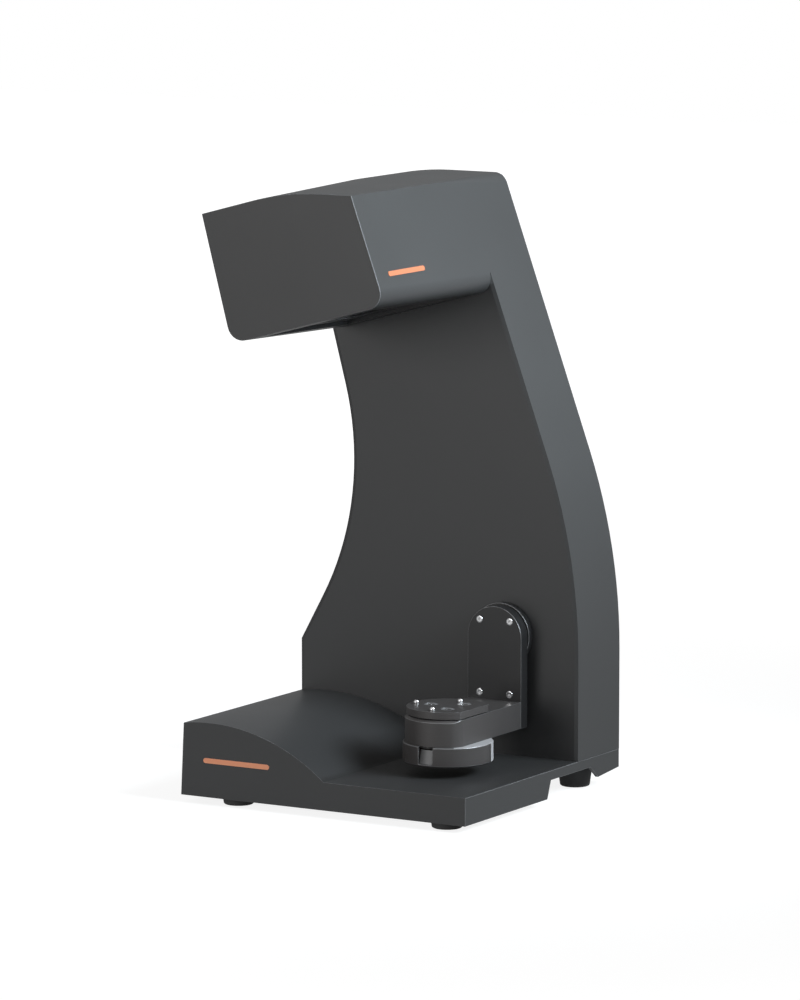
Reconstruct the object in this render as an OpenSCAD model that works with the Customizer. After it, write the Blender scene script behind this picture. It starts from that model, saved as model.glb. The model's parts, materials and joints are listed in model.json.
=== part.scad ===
// Desktop 3D scanner with a tilted optics head, a swing arm and a small turntable.
// +X is the user's right, +Y runs from the front to the back, +Z is up, in millimetres.
// Z = 0 is the surface that the feet stand on; the plan centre of the housing is at X = Y = 0.
// The head is a box rolled about Y, and its roll axis looks straight down at the turntable.

/* [Base] */
// Width of the base at its bottom edge
base_w = 256; // [248:1:270]
// Depth of the base and of the whole scanner
base_d = 242.4; // [236:0.2:260]
// Height of the lower edge of the base over the table
skirt_z = 6; // [4:0.5:8]
// Height of the flat work plate's top
plate_z = 28; // [26:0.5:32]
// How far the left side leans in over its height
left_draft = 2.7; // [0:0.1:5]
// Radius of the hump's rounded top
hump_r = 163; // [140:1:190]
// Height of the hump's highest line
hump_z = 64.9; // [50:0.1:75]
// Distance of the hump's highest line from the left edge
hump_in = 26.8; // [15:0.1:40]
// Wall thickness of the moulded shells
wall = 3; // [2:0.25:3.5]
// Height of the finger notch's roof
notch_z = 20.3; // [17:0.1:21]
// Front end of the finger notch, from the front of the base
notch_y = 132.8; // [110:0.2:140]
// Length of the finger notch's roof
notch_l = 63; // [50:0.5:70]
// Sideways run of the notch's slanted ends
notch_slant = 8; // [4:0.5:10]

/* [Column] */
// Depth of the column from its front wall to the back
column_d = 67.8; // [60:0.2:80]
// Overall height
total_h = 480; // [470:1:500]
// Lean of the right side, from upright
lean = 20; // [16:0.5:22]
// Distance of the top right corner from the right side
corner_in = 106; // [98:0.5:112]
// Radius where the right side starts to lean
lean_r = 460; // [350:5:520]
// Height of the kink on the left side
kink_z = 104.8; // [90:0.2:115]
// Slope of the left side over the kink, from upright
kink_a = 28.9; // [24:0.1:32]
// Radius of the waist on the left side
waist_r = 230; // [200:1:240]

/* [Head] */
// Roll of the head and of the optical axis, from upright
roll = 15; // [12:0.5:16]
// Drop of the head's top left corner under the flat top
top_drop = 17.6; // [12:0.1:24]
// Height of the head at its front, along the optical axis
head_h = 102.4; // [96:0.2:108]
// Distance from the optical axis to the head's left side, at the front
head_left = 70.4; // [66:0.2:80]
// How far the left side spreads from the front to the wall
left_taper = 10.9; // [5:0.1:14]
// How far the underside drops from the front to the wall
floor_taper = 3.1; // [0:0.1:5]
// How far the sloping top rises from the front to the wall
top_taper = 5.8; // [0:0.1:8]
// Set-back of the head's front behind the base's front
head_back = 8.8; // [4:0.2:16]
// Radius of the head's lower edges
head_edge_r = 13; // [8:0.5:18]
// Radius where the sloping top runs into the flat top
top_blend_r = 235; // [150:5:260]

/* [Swing arm] */
// Distance of the swing axis and turntable from the right side
axis_in = 65.6; // [60:0.2:75]
// Height of the swing axis
swing_z = 124; // [120:0.5:130]
// Width of the arm and its upright plate
arm_w = 48; // [42:0.5:52]
// Height of the arm's underside
arm_z = 53; // [51:0.25:55]
// Thickness of the arm
arm_h = 21; // [19:0.25:22]
// Thickness of the upright plate
upright_t = 10; // [7:0.5:12]
// Gap between the swing flange and the column's front wall
wall_gap = 1; // [0.5:0.25:2]
// Thickness of the swing flange
flange_t = 5.4; // [4:0.2:6]
// Radius of the swing flange
flange_r = 25.5; // [24:0.5:28]
// Radius of the swing shaft
shaft_r = 8.5; // [6:0.5:9]
// Radius of the arm's round end
arm_end_r = 33.3; // [32:0.1:35]
// Radius of the arm's front right corner
arm_corner_r = 12; // [6:0.5:14]

/* [Turntable] */
// Distance from the upright plate's face to the turntable's axis
reach = 72.2; // [66:0.2:78]
// Radius of the turntable plate
table_r = 32.2; // [29:0.1:33]
// Distance from the turntable's axis to the flat side of its plate
table_flat = 24; // [22:0.25:27]
// Thickness of the turntable plate
table_t = 5.5; // [5:0.25:6]
// Gap between the arm and the turntable plate
table_gap = 0.8; // [0.4:0.1:1.2]
// Radius of the motor housing under the arm
drum_r = 35; // [33:0.5:35.5]
// Height of the motor housing
drum_h = 15.8; // [14:0.2:16.5]
// Width of the notch in the motor housing
drum_notch_w = 12.6; // [9:0.2:16]
// Radius of the circle of magnets
magnet_ring_r = 14.8; // [13:0.2:16]
// Radius of a magnet's pocket
magnet_r = 5.5; // [4.5:0.25:6]
// Radius of a locating pin
pin_r = 2.1; // [1.5:0.1:2.5]
// Height of a locating pin over the plate
pin_h = 3.3; // [3:0.1:6]
// Radius of the turntable shaft
table_shaft_r = 4; // [3:0.25:5]

/* [Feet and panels] */
// Radius of a rubber foot at the table
foot_r = 11.8; // [8:0.2:14]
// Distance of the right feet from the right side
foot_in_right = 26.5; // [24:0.5:40]
// Distance of the left feet from the left side
foot_in_left = 42; // [30:0.5:60]
// Distance of the feet from the front and the back
foot_in_y = 18; // [17:0.5:30]
// Thickness of the sheet metal bottom plate
bottom_t = 2; // [1:0.25:2.5]
// Width of a ventilation slot
slot_w = 3; // [2:0.25:4]
// Length of a ventilation slot
slot_l = 46; // [30:1:50]
// Size of the cooling fan
fan_w = 60; // [50:1:60]

/* [Hidden] */
$fn = 96;

// Fits, used wherever one piece sits in or runs over another
running = 0.05; // radial running fit of a shaft in its bearing
clear = 0.3; // air between pieces that move past each other
eps = 1; // how far a cutter runs past the face that it cuts

// Housing planes
right_x = base_w / 2;
front_y = -base_d / 2;
back_y = base_d / 2;
wall_y = back_y - column_d;
head_y = front_y + head_back;
left_x = -right_x + left_draft;
hump_x = -right_x + hump_in;
hump_cz = hump_z - hump_r;
deck_z = notch_z + 0.4; // underside of the sheet metal bottom plate
plate_under = plate_z - wall;

// Swing axis, arm and turntable
axis_x = right_x - axis_in;
flange_y = wall_y - wall_gap - flange_t;
upright_back = flange_y;
upright_y = upright_back - upright_t;
table_y = upright_y - reach;
arm_top = arm_z + arm_h;
plate_bottom = arm_top + table_gap;
table_z = plate_bottom + table_t;
drum_z = arm_z - drum_h;

// The head hangs from the top: its left side and top at the wall, and its distance from the turntable
wall_u = -head_left - left_taper;
wall_top = (total_h - top_drop - table_z - wall_u * sin(roll)) / cos(roll);
work_dist = wall_top - top_taper - head_h;
wall_floor = work_dist - floor_taper;

// Points of the head's rolled frame, in the X-Z plane
function hp(u, v) = [
  axis_x + u * cos(roll) - v * sin(roll),
  table_z + u * sin(roll) + v * cos(roll)
];
function cross2(a, b) = a[0] * b[1] - a[1] * b[0];
// Where the line through p along d crosses the line through q along e
function meet(p, d, q, e) = p + d * cross2(q - p, e) / cross2(d, e);
// An arc of n steps about c, from angle a to angle b
function arc(c, r, a, b, n = 8) = [for (i = [0:n]) c + r * [cos(a + (b - a) * i / n), sin(a + (b - a) * i / n)]];
// A polygon's corner p between directions da (arriving) and db (leaving), turned left and rounded
function corner(p, da, db, r, n = 8) =
  let (turn = atan2(cross2(da, db), da * db), t = r * tan(turn / 2), c = p - da * t + r * [-da[1], da[0]],
       a0 = atan2(-da[0], da[1]) + 180)
  arc(c, r, a0 - 180, a0 - 180 + turn, n);

// Side lines of the column and head
lean_d = [-sin(lean), cos(lean)];
lean_p = [right_x - corner_in, total_h];
roll_u = [cos(roll), sin(roll)];
roll_v = [-sin(roll), cos(roll)];

// Extrudes an X-Z outline along Y, from y0 to y1
module along_y(y0, y1) translate([0, y1, 0]) rotate([90, 0, 0]) linear_extrude(y1 - y0) children();
// A cylinder along Y, from y0 to y1
module rod_y(x, z, r, y0, y1) translate([x, y0, z]) rotate([-90, 0, 0]) cylinder(r = r, h = y1 - y0);
// A tube along Y
module tube_y(x, z, r_out, r_in, y0, y1) difference() {
  rod_y(x, z, r_out, y0, y1);
  rod_y(x, z, r_in, y0 - eps, y1 + eps);
}
// An upright tube
module tube_z(r_out, r_in, z0, z1) translate([0, 0, z0]) difference() {
  cylinder(r = r_out, h = z1 - z0);
  translate([0, 0, -eps]) cylinder(r = r_in, h = z1 - z0 + 2 * eps);
}
// A box given by its lowest and highest corners
module block(lo, hi) translate(lo) cube(hi - lo);
// A round bar through a list of points, with a thicker ball round each bend
module wire(points, r) {
  last = len(points) - 1;
  for (i = [1:last]) {
    d = points[i] - points[i - 1];
    low = i > 1 ? 0.2 * r : 0; // overlap past a bend, and none at the two ends
    high = i < last ? 0.2 * r : 0;
    translate(points[i - 1]) rotate([0, acos(d[2] / norm(d)), atan2(d[1], d[0])])
      translate([0, 0, -low]) cylinder(r = r, h = norm(d) + low + high);
  }
  for (i = [1:last - 1]) translate(points[i]) sphere(r = 1.45 * r);
}
// Things in the head, in the frame of its optical axis: Z runs up the axis from the turntable
module head_frame() translate([axis_x, table_y, table_z]) rotate([0, -roll, 0]) children();

// ---------------------------------------------------------------- housing outlines

// Where the right side turns from upright to leaning, for an outline set in by i
function lean_at(i) = lean_p - i * [cos(lean), sin(lean)];
function bend_at(i) = meet([right_x - i, 0], [0, 1], lean_at(i), lean_d);
function bend_t(i) = (lean_r - i) * tan(lean / 2);
// The waist's circle, outside the left side
kink_p = [left_x, kink_z];
kink_d = [sin(kink_a), cos(kink_a)];
kink_n = [-cos(kink_a), sin(kink_a)];
waist_c = meet(kink_p + kink_n * waist_r, kink_d, hp(wall_u, 0) - roll_u * waist_r, roll_v);

// The column's outline seen from the front, set in by i, from height z0 up
module column_outline(i = 0, z0 = plate_z) {
  bend = bend_at(i);
  t1 = bend - [0, bend_t(i)];
  t2 = bend + lean_d * bend_t(i);
  waist_a = waist_c - kink_n * (waist_r + i);
  waist_b = waist_c + roll_u * (waist_r + i);
  kink = meet([left_x + i, 0], [0, 1], waist_a, kink_d);
  top_z = total_h - i;
  top_left = hp(wall_u + i, wall_top - i);
  flat_a = meet(top_left, roll_u, [0, top_z], [1, 0]);
  blend_t = (top_blend_r - i) * tan(roll / 2);
  blend_a = flat_a - roll_u * blend_t;
  blend_b = flat_a + [blend_t, 0];
  blend_c = blend_b - [0, top_blend_r - i];
  difference() {
    polygon([
      [right_x - i, z0], bend, meet(lean_at(i), lean_d, [0, top_z], [1, 0]),
      flat_a, top_left, waist_b, waist_a, kink, [left_x + i, z0]
    ]);
    translate(waist_c) circle(r = waist_r + i, $fn = 240);
    difference() {
      polygon([t1, bend, t2]);
      translate(t1 - [lean_r - i, 0]) circle(r = lean_r - i, $fn = 240);
    }
    difference() {
      polygon([blend_a, flat_a, blend_b]);
      translate(blend_c) circle(r = top_blend_r - i, $fn = 240);
    }
  }
}

// The left side leans in from the skirt's edge to where it meets the hump
left_z = hump_cz + sqrt(pow(hump_r, 2) - pow(left_x - hump_x, 2));
function left_at(z) = -right_x + left_draft * (z - skirt_z) / (left_z - skirt_z);
// Where the hump runs out into the work plate, for an outline set in by i
function hump_edge(i) = hump_x + sqrt(pow(hump_r - i, 2) - pow(plate_z - i - hump_cz, 2));
// The base's outline seen from the front, set in by i, down to height z0
module base_outline(i = 0, z0 = skirt_z) {
  edge_x = hump_edge(i);
  over = hump_z + eps;
  difference() {
    polygon([
      [left_at(z0) + i, z0], [right_x - i, z0], [right_x - i, plate_z - i], [edge_x, plate_z - i],
      [edge_x, over], [left_at(over) + i, over]
    ]);
    difference() {
      polygon([[left_x + i - 2 * eps, left_z - i], [left_x + i - 2 * eps, over + eps], [edge_x + eps, over + eps],
        [edge_x + eps, plate_z - i], [edge_x, plate_z - i]]);
      translate([hump_x, hump_cz]) circle(r = hump_r - i, $fn = 240);
    }
  }
}

// The head's outline at its front (s = 0) or at the wall (s = 1), set in by i
module head_outline(s, i = 0) {
  u = -head_left - s * left_taper + i;
  v0 = work_dist - s * floor_taper + i;
  v1 = work_dist + head_h + s * top_taper - i;
  r = max(head_edge_r - i, 1);
  top_z = total_h - i;
  low_right = meet(hp(0, v0), roll_u, lean_at(i), lean_d);
  top_right = meet(lean_at(i), lean_d, [0, top_z], [1, 0]);
  flat_a = meet(hp(0, v1), roll_u, [0, top_z], [1, 0]);
  polygon(concat(
    corner(hp(u, v0), -roll_v, roll_u, r),
    corner(low_right, roll_u, lean_d, r),
    [top_right],
    corner(flat_a, [-1, 0], -roll_u, top_blend_r - i, 10),
    [hp(u, v1)]
  ));
}
// The head's tapered body between y0 and y1, set in by i
module head_body(y0, y1, i = 0) hull() {
  along_y(y0, y0 + 0.01) head_outline(0, i);
  along_y(y1 - 0.01, y1) head_outline(1, i);
}

// ---------------------------------------------------------------- base

// The finger notch's outline seen from the side, as Y and Z
notch_y0 = front_y + notch_y;
rear_rise = 4.5; // how much higher the skirt sits behind the notch
back_rise = 7.2; // and at the very back
module side_notch() {
  y1 = notch_y0 + notch_l;
  polygon([
    [notch_y0 - notch_slant * 0.75, skirt_z - eps], [notch_y0, notch_z], [y1, notch_z],
    [y1 + notch_slant * 1.6, skirt_z + rear_rise], [back_y + eps, skirt_z + back_rise + 0.3],
    [back_y + eps, skirt_z - eps]
  ]);
}
// The same outline as a cutter through both sides of the skirt
module notch_cut() rotate([90, 0, 90]) translate([0, 0, -right_x - eps]) linear_extrude(base_w + 2 * eps) side_notch();

plate_screw_r = 1.5;
boss_r = 5;
boss_in = wall + boss_r - 0.5; // the bosses grow out of the skirt
plate_screw_xy = [
  for (x = [-right_x + boss_in, hump_edge(0) + 12, right_x - boss_in], y = [front_y + 12, back_y - boss_in]) [x, y]
];

module base_housing() color([0.29, 0.30, 0.31]) difference() {
  union() {
    difference() {
      union() {
        along_y(front_y, wall_y) base_outline();
        along_y(wall_y - eps, back_y) intersection() {
          base_outline();
          translate([-right_x, 0]) square([base_w, plate_z]);
        }
      }
      along_y(front_y + wall, wall_y - wall) base_outline(wall, skirt_z - eps);
      along_y(wall_y - wall - eps, back_y - wall) intersection() {
        base_outline(wall, skirt_z - eps);
        translate([-right_x, 0]) square([base_w, plate_under]);
      }
      block([left_x + 12, wall_y + wall, plate_under - eps], [right_x - 12, back_y - 16, plate_z + eps]);
    }
    for (p = plate_screw_xy)
      translate([p[0], p[1], deck_z + bottom_t]) cylinder(r = boss_r, h = plate_under + 0.5 - deck_z - bottom_t);
  }
  notch_cut();
  for (p = plate_screw_xy)
    translate([p[0], p[1], deck_z - eps]) cylinder(r = plate_screw_r, h = bottom_t + eps + 3.5);
}

plate_play = 0.5; // gap round the bottom plate
feet_xy = [
  for (x = [-right_x + foot_in_left, right_x - foot_in_right], y = [front_y + foot_in_y, back_y - foot_in_y - 6]) [x, y]
];
foot_screw_r = 2;
module base_bottom_plate() color([0.55, 0.56, 0.58]) difference() {
  block(
    [left_at(deck_z) + wall + plate_play, front_y + wall + plate_play, deck_z],
    [right_x - wall - plate_play, back_y - wall - plate_play, deck_z + bottom_t]
  );
  for (p = feet_xy) translate([p[0], p[1], deck_z - eps]) cylinder(r = foot_screw_r, h = bottom_t + 2 * eps);
  for (p = plate_screw_xy) translate([p[0], p[1], deck_z - eps]) cylinder(r = plate_screw_r, h = bottom_t + 2 * eps);
  for (i = [0:9]) translate([hump_x - 15 + i * 2.5 * slot_w, -60, deck_z - eps]) cube([slot_w, slot_l, bottom_t + 2 * eps]);
}
foot_flare = 2.8; // how much wider a foot is at its top
foot_pocket_r = 5;
module rubber_feet() color([0.09, 0.09, 0.09])
  for (p = feet_xy) translate([p[0], p[1], 0]) difference() {
    rotate_extrude() polygon([
      [0, 0], [foot_r - 1, 0], [foot_r, 0.8], [foot_r + foot_flare, deck_z], [0, deck_z]
    ]);
    translate([0, 0, -eps]) cylinder(r = foot_pocket_r, h = deck_z - 6 + eps);
    cylinder(r = foot_screw_r, h = deck_z + eps);
  }
module foot_screws() color([0.6, 0.6, 0.62])
  for (p = feet_xy) translate([p[0], p[1], deck_z - 6]) {
    cylinder(r = foot_screw_r, h = 6 + bottom_t + 2);
    difference() {
      translate([0, 0, -3]) cylinder(r = 3.8, h = 3);
      translate([0, 0, -3 - eps]) cylinder(r = 2.2, h = 1.6 + eps, $fn = 6);
    }
    translate([0, 0, 6 + bottom_t]) cylinder(r = 3.9, h = 2, $fn = 6);
  }
module bottom_plate_screws() color([0.2, 0.2, 0.21])
  for (p = plate_screw_xy) translate([p[0], p[1], deck_z]) {
    cylinder(r = plate_screw_r, h = bottom_t + 3);
    difference() {
      translate([0, 0, -1.8]) cylinder(r = 2.8, h = 1.8);
      translate([0, 0, -1.8 - eps]) cylinder(r = 1.3, h = 1 + eps, $fn = 6);
    }
  }
// A plain orange strip, let into the front of the base
strip_t = 0.4;
module pill(length, height) union() {
  translate([0, -height / 2]) square([length, height]);
  for (x = [0, length]) translate([x, 0]) circle(r = height / 2);
}
module base_accent() color([0.92, 0.5, 0.32]) along_y(front_y - strip_t, front_y)
  translate([-right_x + 23, skirt_z + 29]) pill(56, 4);

// ---------------------------------------------------------------- column

swing_hole_r = 18;
head_hole_in = 9; // margin of the passage from the column into the head
cover_play = 0.3;
cover_in = wall + cover_play;
cover_set = 2; // how far the rear cover lies in from the back edge
panel_y = back_y - cover_set;
cover_screw_in = 8; // distance of the cover's screws from the column's sides
lean_l = corner_in / sin(lean); // length of the right side's leaning line
cover_screw_xz = [
  [right_x - cover_screw_in, plate_z + 10], [right_x - cover_screw_in, plate_z + 74],
  lean_at(cover_screw_in) - lean_d * lean_l * 0.65, lean_at(cover_screw_in) - lean_d * lean_l * 0.13,
  hp(wall_u + cover_screw_in, wall_top - 22), waist_c + [waist_r + cover_screw_in, 0],
  [left_x + cover_screw_in, plate_z + 10]
];
cover_boss_l = 12;
module column_housing() color([0.35, 0.36, 0.38]) {
  difference() {
    along_y(wall_y, back_y) column_outline();
    along_y(wall_y + wall, back_y + eps) column_outline(wall, plate_z - eps);
    rod_y(axis_x, swing_z, swing_hole_r, wall_y - eps, wall_y + wall + eps);
    along_y(wall_y - eps, wall_y + wall + eps) head_outline(1, head_hole_in);
  }
  for (p = cover_screw_xz) difference() {
    intersection() {
      rod_y(p[0], p[1], 6, panel_y - wall - cover_boss_l, panel_y - wall);
      along_y(wall_y, back_y) column_outline(wall / 2, plate_z);
    }
    rod_y(p[0], p[1], 1.5, panel_y - wall - cover_boss_l - eps, panel_y);
  }
}

// Rear panel with its cut-outs
panel_z = plate_z + 34;
inlet_x = left_x + 42;
rocker_x = inlet_x + 38;
usb_x = rocker_x + 34;
inlet_w = 27;
inlet_h = 20;
rocker_w = 13.5;
rocker_h = 20;
usb_w = 12.6;
usb_h = 11.4;
fan_x = left_x + 107;
fan_z = total_h - 143;
vent_pitch = 2.2 * slot_w;
module vent_grille(x, z, n) for (i = [0:n - 1])
  translate([x - slot_l / 2, z + (i - (n - 1) / 2) * vent_pitch - slot_w / 2]) square([slot_l, slot_w]);
module rear_cover() color([0.30, 0.31, 0.32]) difference() {
  along_y(panel_y - wall, panel_y) column_outline(cover_in, plate_z + cover_play);
  along_y(panel_y - wall - eps, panel_y + eps) {
    translate([inlet_x, panel_z]) square([inlet_w, inlet_h], center = true);
    translate([rocker_x, panel_z]) square([rocker_w, rocker_h], center = true);
    translate([usb_x, panel_z]) square([usb_w, usb_h], center = true);
    vent_grille(fan_x, fan_z, 8);
    vent_grille(axis_x, swing_z - 40, 5);
  }
  for (p = cover_screw_xz) rod_y(p[0], p[1], 1.5, panel_y - wall - eps, panel_y + eps);
}
module rear_cover_screws() color([0.2, 0.2, 0.21]) for (p = cover_screw_xz) {
  rod_y(p[0], p[1], 1.5, panel_y - wall - 8, panel_y);
  difference() {
    rod_y(p[0], p[1], 2.8, panel_y, panel_y + 1.8);
    translate([p[0], panel_y + 0.8, p[1]]) rotate([-90, 0, 0]) cylinder(r = 1.3, h = 1 + eps, $fn = 6);
  }
}

// ---------------------------------------------------------------- head

// Slope of the head's underside from the front to the wall, and a frame that follows it
floor_a = atan2(floor_taper, wall_y - head_y);
module floor_frame() translate([axis_x, 0, table_z]) rotate([0, -roll, 0])
  translate([0, head_y, work_dist]) rotate([-floor_a, 0, 0]) children();
floor_gap = 0.1; // air under the bottom cover's lap
bay_u = 50; // half width of the opening in the underside
bay_y0 = 16; // its ends, from the head's front
bay_y1 = 140;
module head_housing() color([0.36, 0.37, 0.38]) difference() {
  head_body(head_y, wall_y);
  head_body(head_y + wall, wall_y + eps, wall);
  floor_frame() block([-bay_u, bay_y0, -2 * eps], [bay_u, bay_y1, wall + 2 * eps]);
}
cover_lap = 5; // how far the bottom cover lies over the housing's floor
bottom_cover_t = 2.5;
window_u = 38;
window_y0 = 30;
window_y1 = 128;
cover_z = wall + floor_gap;
cover_top = cover_z + bottom_cover_t;
module head_bottom_cover() color([0.12, 0.12, 0.13]) floor_frame() difference() {
  block([-bay_u - cover_lap, bay_y0 - cover_lap, cover_z], [bay_u + cover_lap, bay_y1 + cover_lap, cover_top]);
  block([-window_u, window_y0, cover_z - eps], [window_u, window_y1, cover_top + eps]);
}
window_t = 2;
window_lap = 4;
frame_t = 2;
module optics_window() color([0.25, 0.3, 0.33, 0.6]) floor_frame()
  block(
    [-window_u - window_lap, window_y0 - window_lap, cover_top],
    [window_u + window_lap, window_y1 + window_lap, cover_top + window_t]
  );
module window_frame() color([0.1, 0.1, 0.1]) floor_frame() difference() {
  z0 = cover_top + window_t;
  edge = window_lap + 4;
  block([-window_u - edge, window_y0 - edge, cover_top], [window_u + edge, window_y1 + edge, z0 + frame_t]);
  block([-window_u, window_y0, z0 - eps], [window_u, window_y1, z0 + frame_t + eps]);
  block([-window_u - window_lap, window_y0 - window_lap, cover_top - eps],
    [window_u + window_lap, window_y1 + window_lap, z0]);
}

// Optics, in the frame of the optical axis; camera_dy is the cameras' distance from it
bench_v = work_dist + 24;
bench_t = 4;
bench_y0 = head_y - table_y + wall + 2.5;
bench_y1 = head_y - table_y + bay_y1 + 8;
bench_u = 56;
room = table_y - head_y; // from the head's front to the optical axis
camera_r = 0.195 * room; // half width of a camera
camera_l = 34;
camera_dy = room - wall - camera_r - 7.1;
camera_a = atan2(camera_dy, bench_v);
lens_r = camera_r - 2;
bezel_r = lens_r - 2.2; // part of a lens that enters its camera
proj_lens_r = camera_r;
proj_r = 0.27 * room; // half depth of the projector
proj_l = 54;
post_uy = [for (u = [-bench_u + 6, bench_u - 6], y = [bench_y0 + 11, bench_y1 - 6]) [u, y]];
// Height of the bottom cover's inner face at y, along the optical axis
function floor_v(y) = work_dist - (y + table_y - head_y) * tan(floor_a) + cover_top / cos(floor_a);
// A piece of a camera, on the line from the turntable to the camera's place
module at_cameras() for (s = [-1, 1]) translate([0, s * camera_dy, bench_v]) rotate([-s * camera_a, 0, 0]) children();
module optics_bench() color([0.62, 0.63, 0.65]) head_frame() difference() {
  block([-bench_u, bench_y0, bench_v], [bench_u, bench_y1, bench_v + bench_t]);
  translate([0, 0, bench_v - eps]) cylinder(r = proj_lens_r + 1, h = bench_t + 2 * eps);
  at_cameras() translate([0, 0, -3 * eps]) cylinder(r = lens_r + 1.7, h = bench_t + 6 * eps);
  for (p = post_uy) translate([p[0], p[1], bench_v - eps]) cylinder(r = 1.6, h = bench_t + 2 * eps);
}
module bench_posts() color([0.7, 0.7, 0.72]) head_frame() for (p = post_uy) {
  low = floor_v(p[1] + 3);
  translate([p[0], p[1], low + 0.1]) cylinder(r = 3, h = bench_v - low - 0.1, $fn = 6);
}
proj_v = bench_v + bench_t;
module projector_body() color([0.15, 0.15, 0.16]) head_frame() difference() {
  block([-27, -proj_r, proj_v], [27, proj_r, proj_v + proj_l]);
  translate([0, 0, proj_v - eps]) cylinder(r = proj_lens_r - 4, h = 12 + eps);
  for (i = [0:5]) block([-22 + i * 8, -proj_r - eps, proj_v + 26], [-19 + i * 8, proj_r - 5, proj_v + proj_l + eps]);
}
module projector_lens() color([0.08, 0.08, 0.09]) head_frame() translate([0, 0, bench_v - 12]) difference() {
  union() {
    cylinder(r = proj_lens_r, h = 12 + bench_t);
    cylinder(r = proj_lens_r - 4.2, h = 12 + bench_t + 9);
  }
  translate([0, 0, -eps]) cylinder(r1 = proj_lens_r - 2.5, r2 = proj_lens_r - 6, h = 6 + eps);
}
body_v = bench_t + 8;
module camera_bodies() color([0.13, 0.13, 0.14]) head_frame() at_cameras() difference() {
  block([-camera_r, -camera_r, body_v], [camera_r, camera_r, body_v + camera_l]);
  translate([0, 0, body_v - eps]) cylinder(r = bezel_r + 0.2, h = 6 + eps);
}
module camera_lenses() color([0.07, 0.07, 0.08]) head_frame() at_cameras() difference() {
  translate([0, 0, -10]) union() {
    cylinder(r = lens_r, h = body_v + 10);
    cylinder(r = bezel_r, h = body_v + 15);
  }
  translate([0, 0, -10 - eps]) cylinder(r1 = lens_r - 1.5, r2 = lens_r - 5, h = 6 + eps);
}
// Side plates that stand on the bench, leaning with their camera
module camera_brackets() color([0.6, 0.61, 0.63]) head_frame() difference() {
  at_cameras() for (m = [-1, 1]) translate([m * (camera_r + 2), 0, 0]) difference() {
    block([-2, -camera_r + 3, 0], [2, camera_r - 3, body_v + camera_l - 4]);
    translate([-3, 0, body_v + camera_l / 2]) rotate([0, 90, 0]) cylinder(r = 1.6, h = 6);
  }
  block([-bench_u, bench_y0 - eps, bench_v - 8], [bench_u, bench_y1 + eps, bench_v + bench_t]);
}
// A plain orange bar on the head's right side, set into the leaning face
mark_y = -92; // its front end
mark_l = 50;
mark_down = 64; // its distance from the top edge, down the face
module head_accent() color([0.92, 0.5, 0.32])
  translate([right_x - corner_in, 0, total_h]) rotate([0, -lean, 0]) rotate([90, 0, 90])
    translate([mark_y, -mark_down, 0]) linear_extrude(strip_t) pill(mark_l, 4);

// ---------------------------------------------------------------- frame inside the column

spine_in = 7;
spine_t = 3;
spine_y = wall_y + wall;
spine_top = swing_z + 178;
bearing_r = 17.5;
bearing_w = 10;
block_r = 23;
block_y = spine_y + spine_t;
block_l = 30;
motor_z = swing_z + 72;
motor_w = 42.3;
pilot_r = 11;
board_x0 = left_x + 67;
board_z0 = motor_z + 32;
board_w = 118;
board_h = 70;
power_x0 = left_x + 14;
power_z0 = plate_z + 10;
module spine_frame() color([0.6, 0.61, 0.63]) difference() {
  along_y(spine_y, spine_y + spine_t) intersection() {
    column_outline(spine_in, plate_z + 4);
    translate([-right_x, 0]) square([base_w, spine_top]);
  }
  rod_y(axis_x, swing_z, block_r - 3, spine_y - eps, block_y + eps);
  rod_y(left_x + 97, kink_z + 47, 34, spine_y - eps, block_y + eps);
  rod_y(left_x + 105, board_z0 + board_h / 2, 24, spine_y - eps, block_y + eps);
}
ear_r = 30;
module bearing_housing() color([0.66, 0.67, 0.69]) difference() {
  union() {
    rod_y(axis_x, swing_z, ear_r, block_y, block_y + 5);
    rod_y(axis_x, swing_z, block_r, block_y, block_y + block_l);
  }
  rod_y(axis_x, swing_z, bearing_r, block_y - eps, block_y + block_l + eps);
  for (a = [45:90:315]) rod_y(axis_x + 26.5 * cos(a), swing_z + 26.5 * sin(a), 1.7, block_y - eps, block_y + 6);
}
bearing_y = [block_y + 1, block_y + block_l - bearing_w - 1];
module swing_bearings() color([0.75, 0.76, 0.78]) for (y = bearing_y)
  tube_y(axis_x, swing_z, bearing_r, shaft_r + running, y, y + bearing_w);
plate_y = block_y + 27;
module motor_bracket() color([0.58, 0.59, 0.61]) {
  difference() {
    block([axis_x - 30, plate_y, motor_z - 25], [axis_x + 30, plate_y + 3, motor_z + 25]);
    rod_y(axis_x, motor_z, pilot_r + 0.2, plate_y - eps, plate_y + 3 + eps);
  }
  for (u = [-26, 26], v = [-20, 20]) rod_y(axis_x + u, motor_z + v, 3.5, block_y, plate_y);
}
module swing_motor() color([0.16, 0.16, 0.17]) difference() {
  union() {
    block([axis_x - motor_w / 2, block_y + 1, motor_z - motor_w / 2], [axis_x + motor_w / 2, plate_y, motor_z + motor_w / 2]);
    rod_y(axis_x, motor_z, pilot_r, plate_y - eps, plate_y + 2);
  }
  rod_y(axis_x, motor_z, 2.5 + clear, block_y + 8, plate_y + 2 + eps);
}
belt_y = block_y + block_l + 3;
belt_w = 9;
big_r = 27;
small_r = 9;
belt_t = 1.4;
belt_gap = 0.35;
belt_sink = 0.03; // the straight runs lie this far inside the tangents
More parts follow.
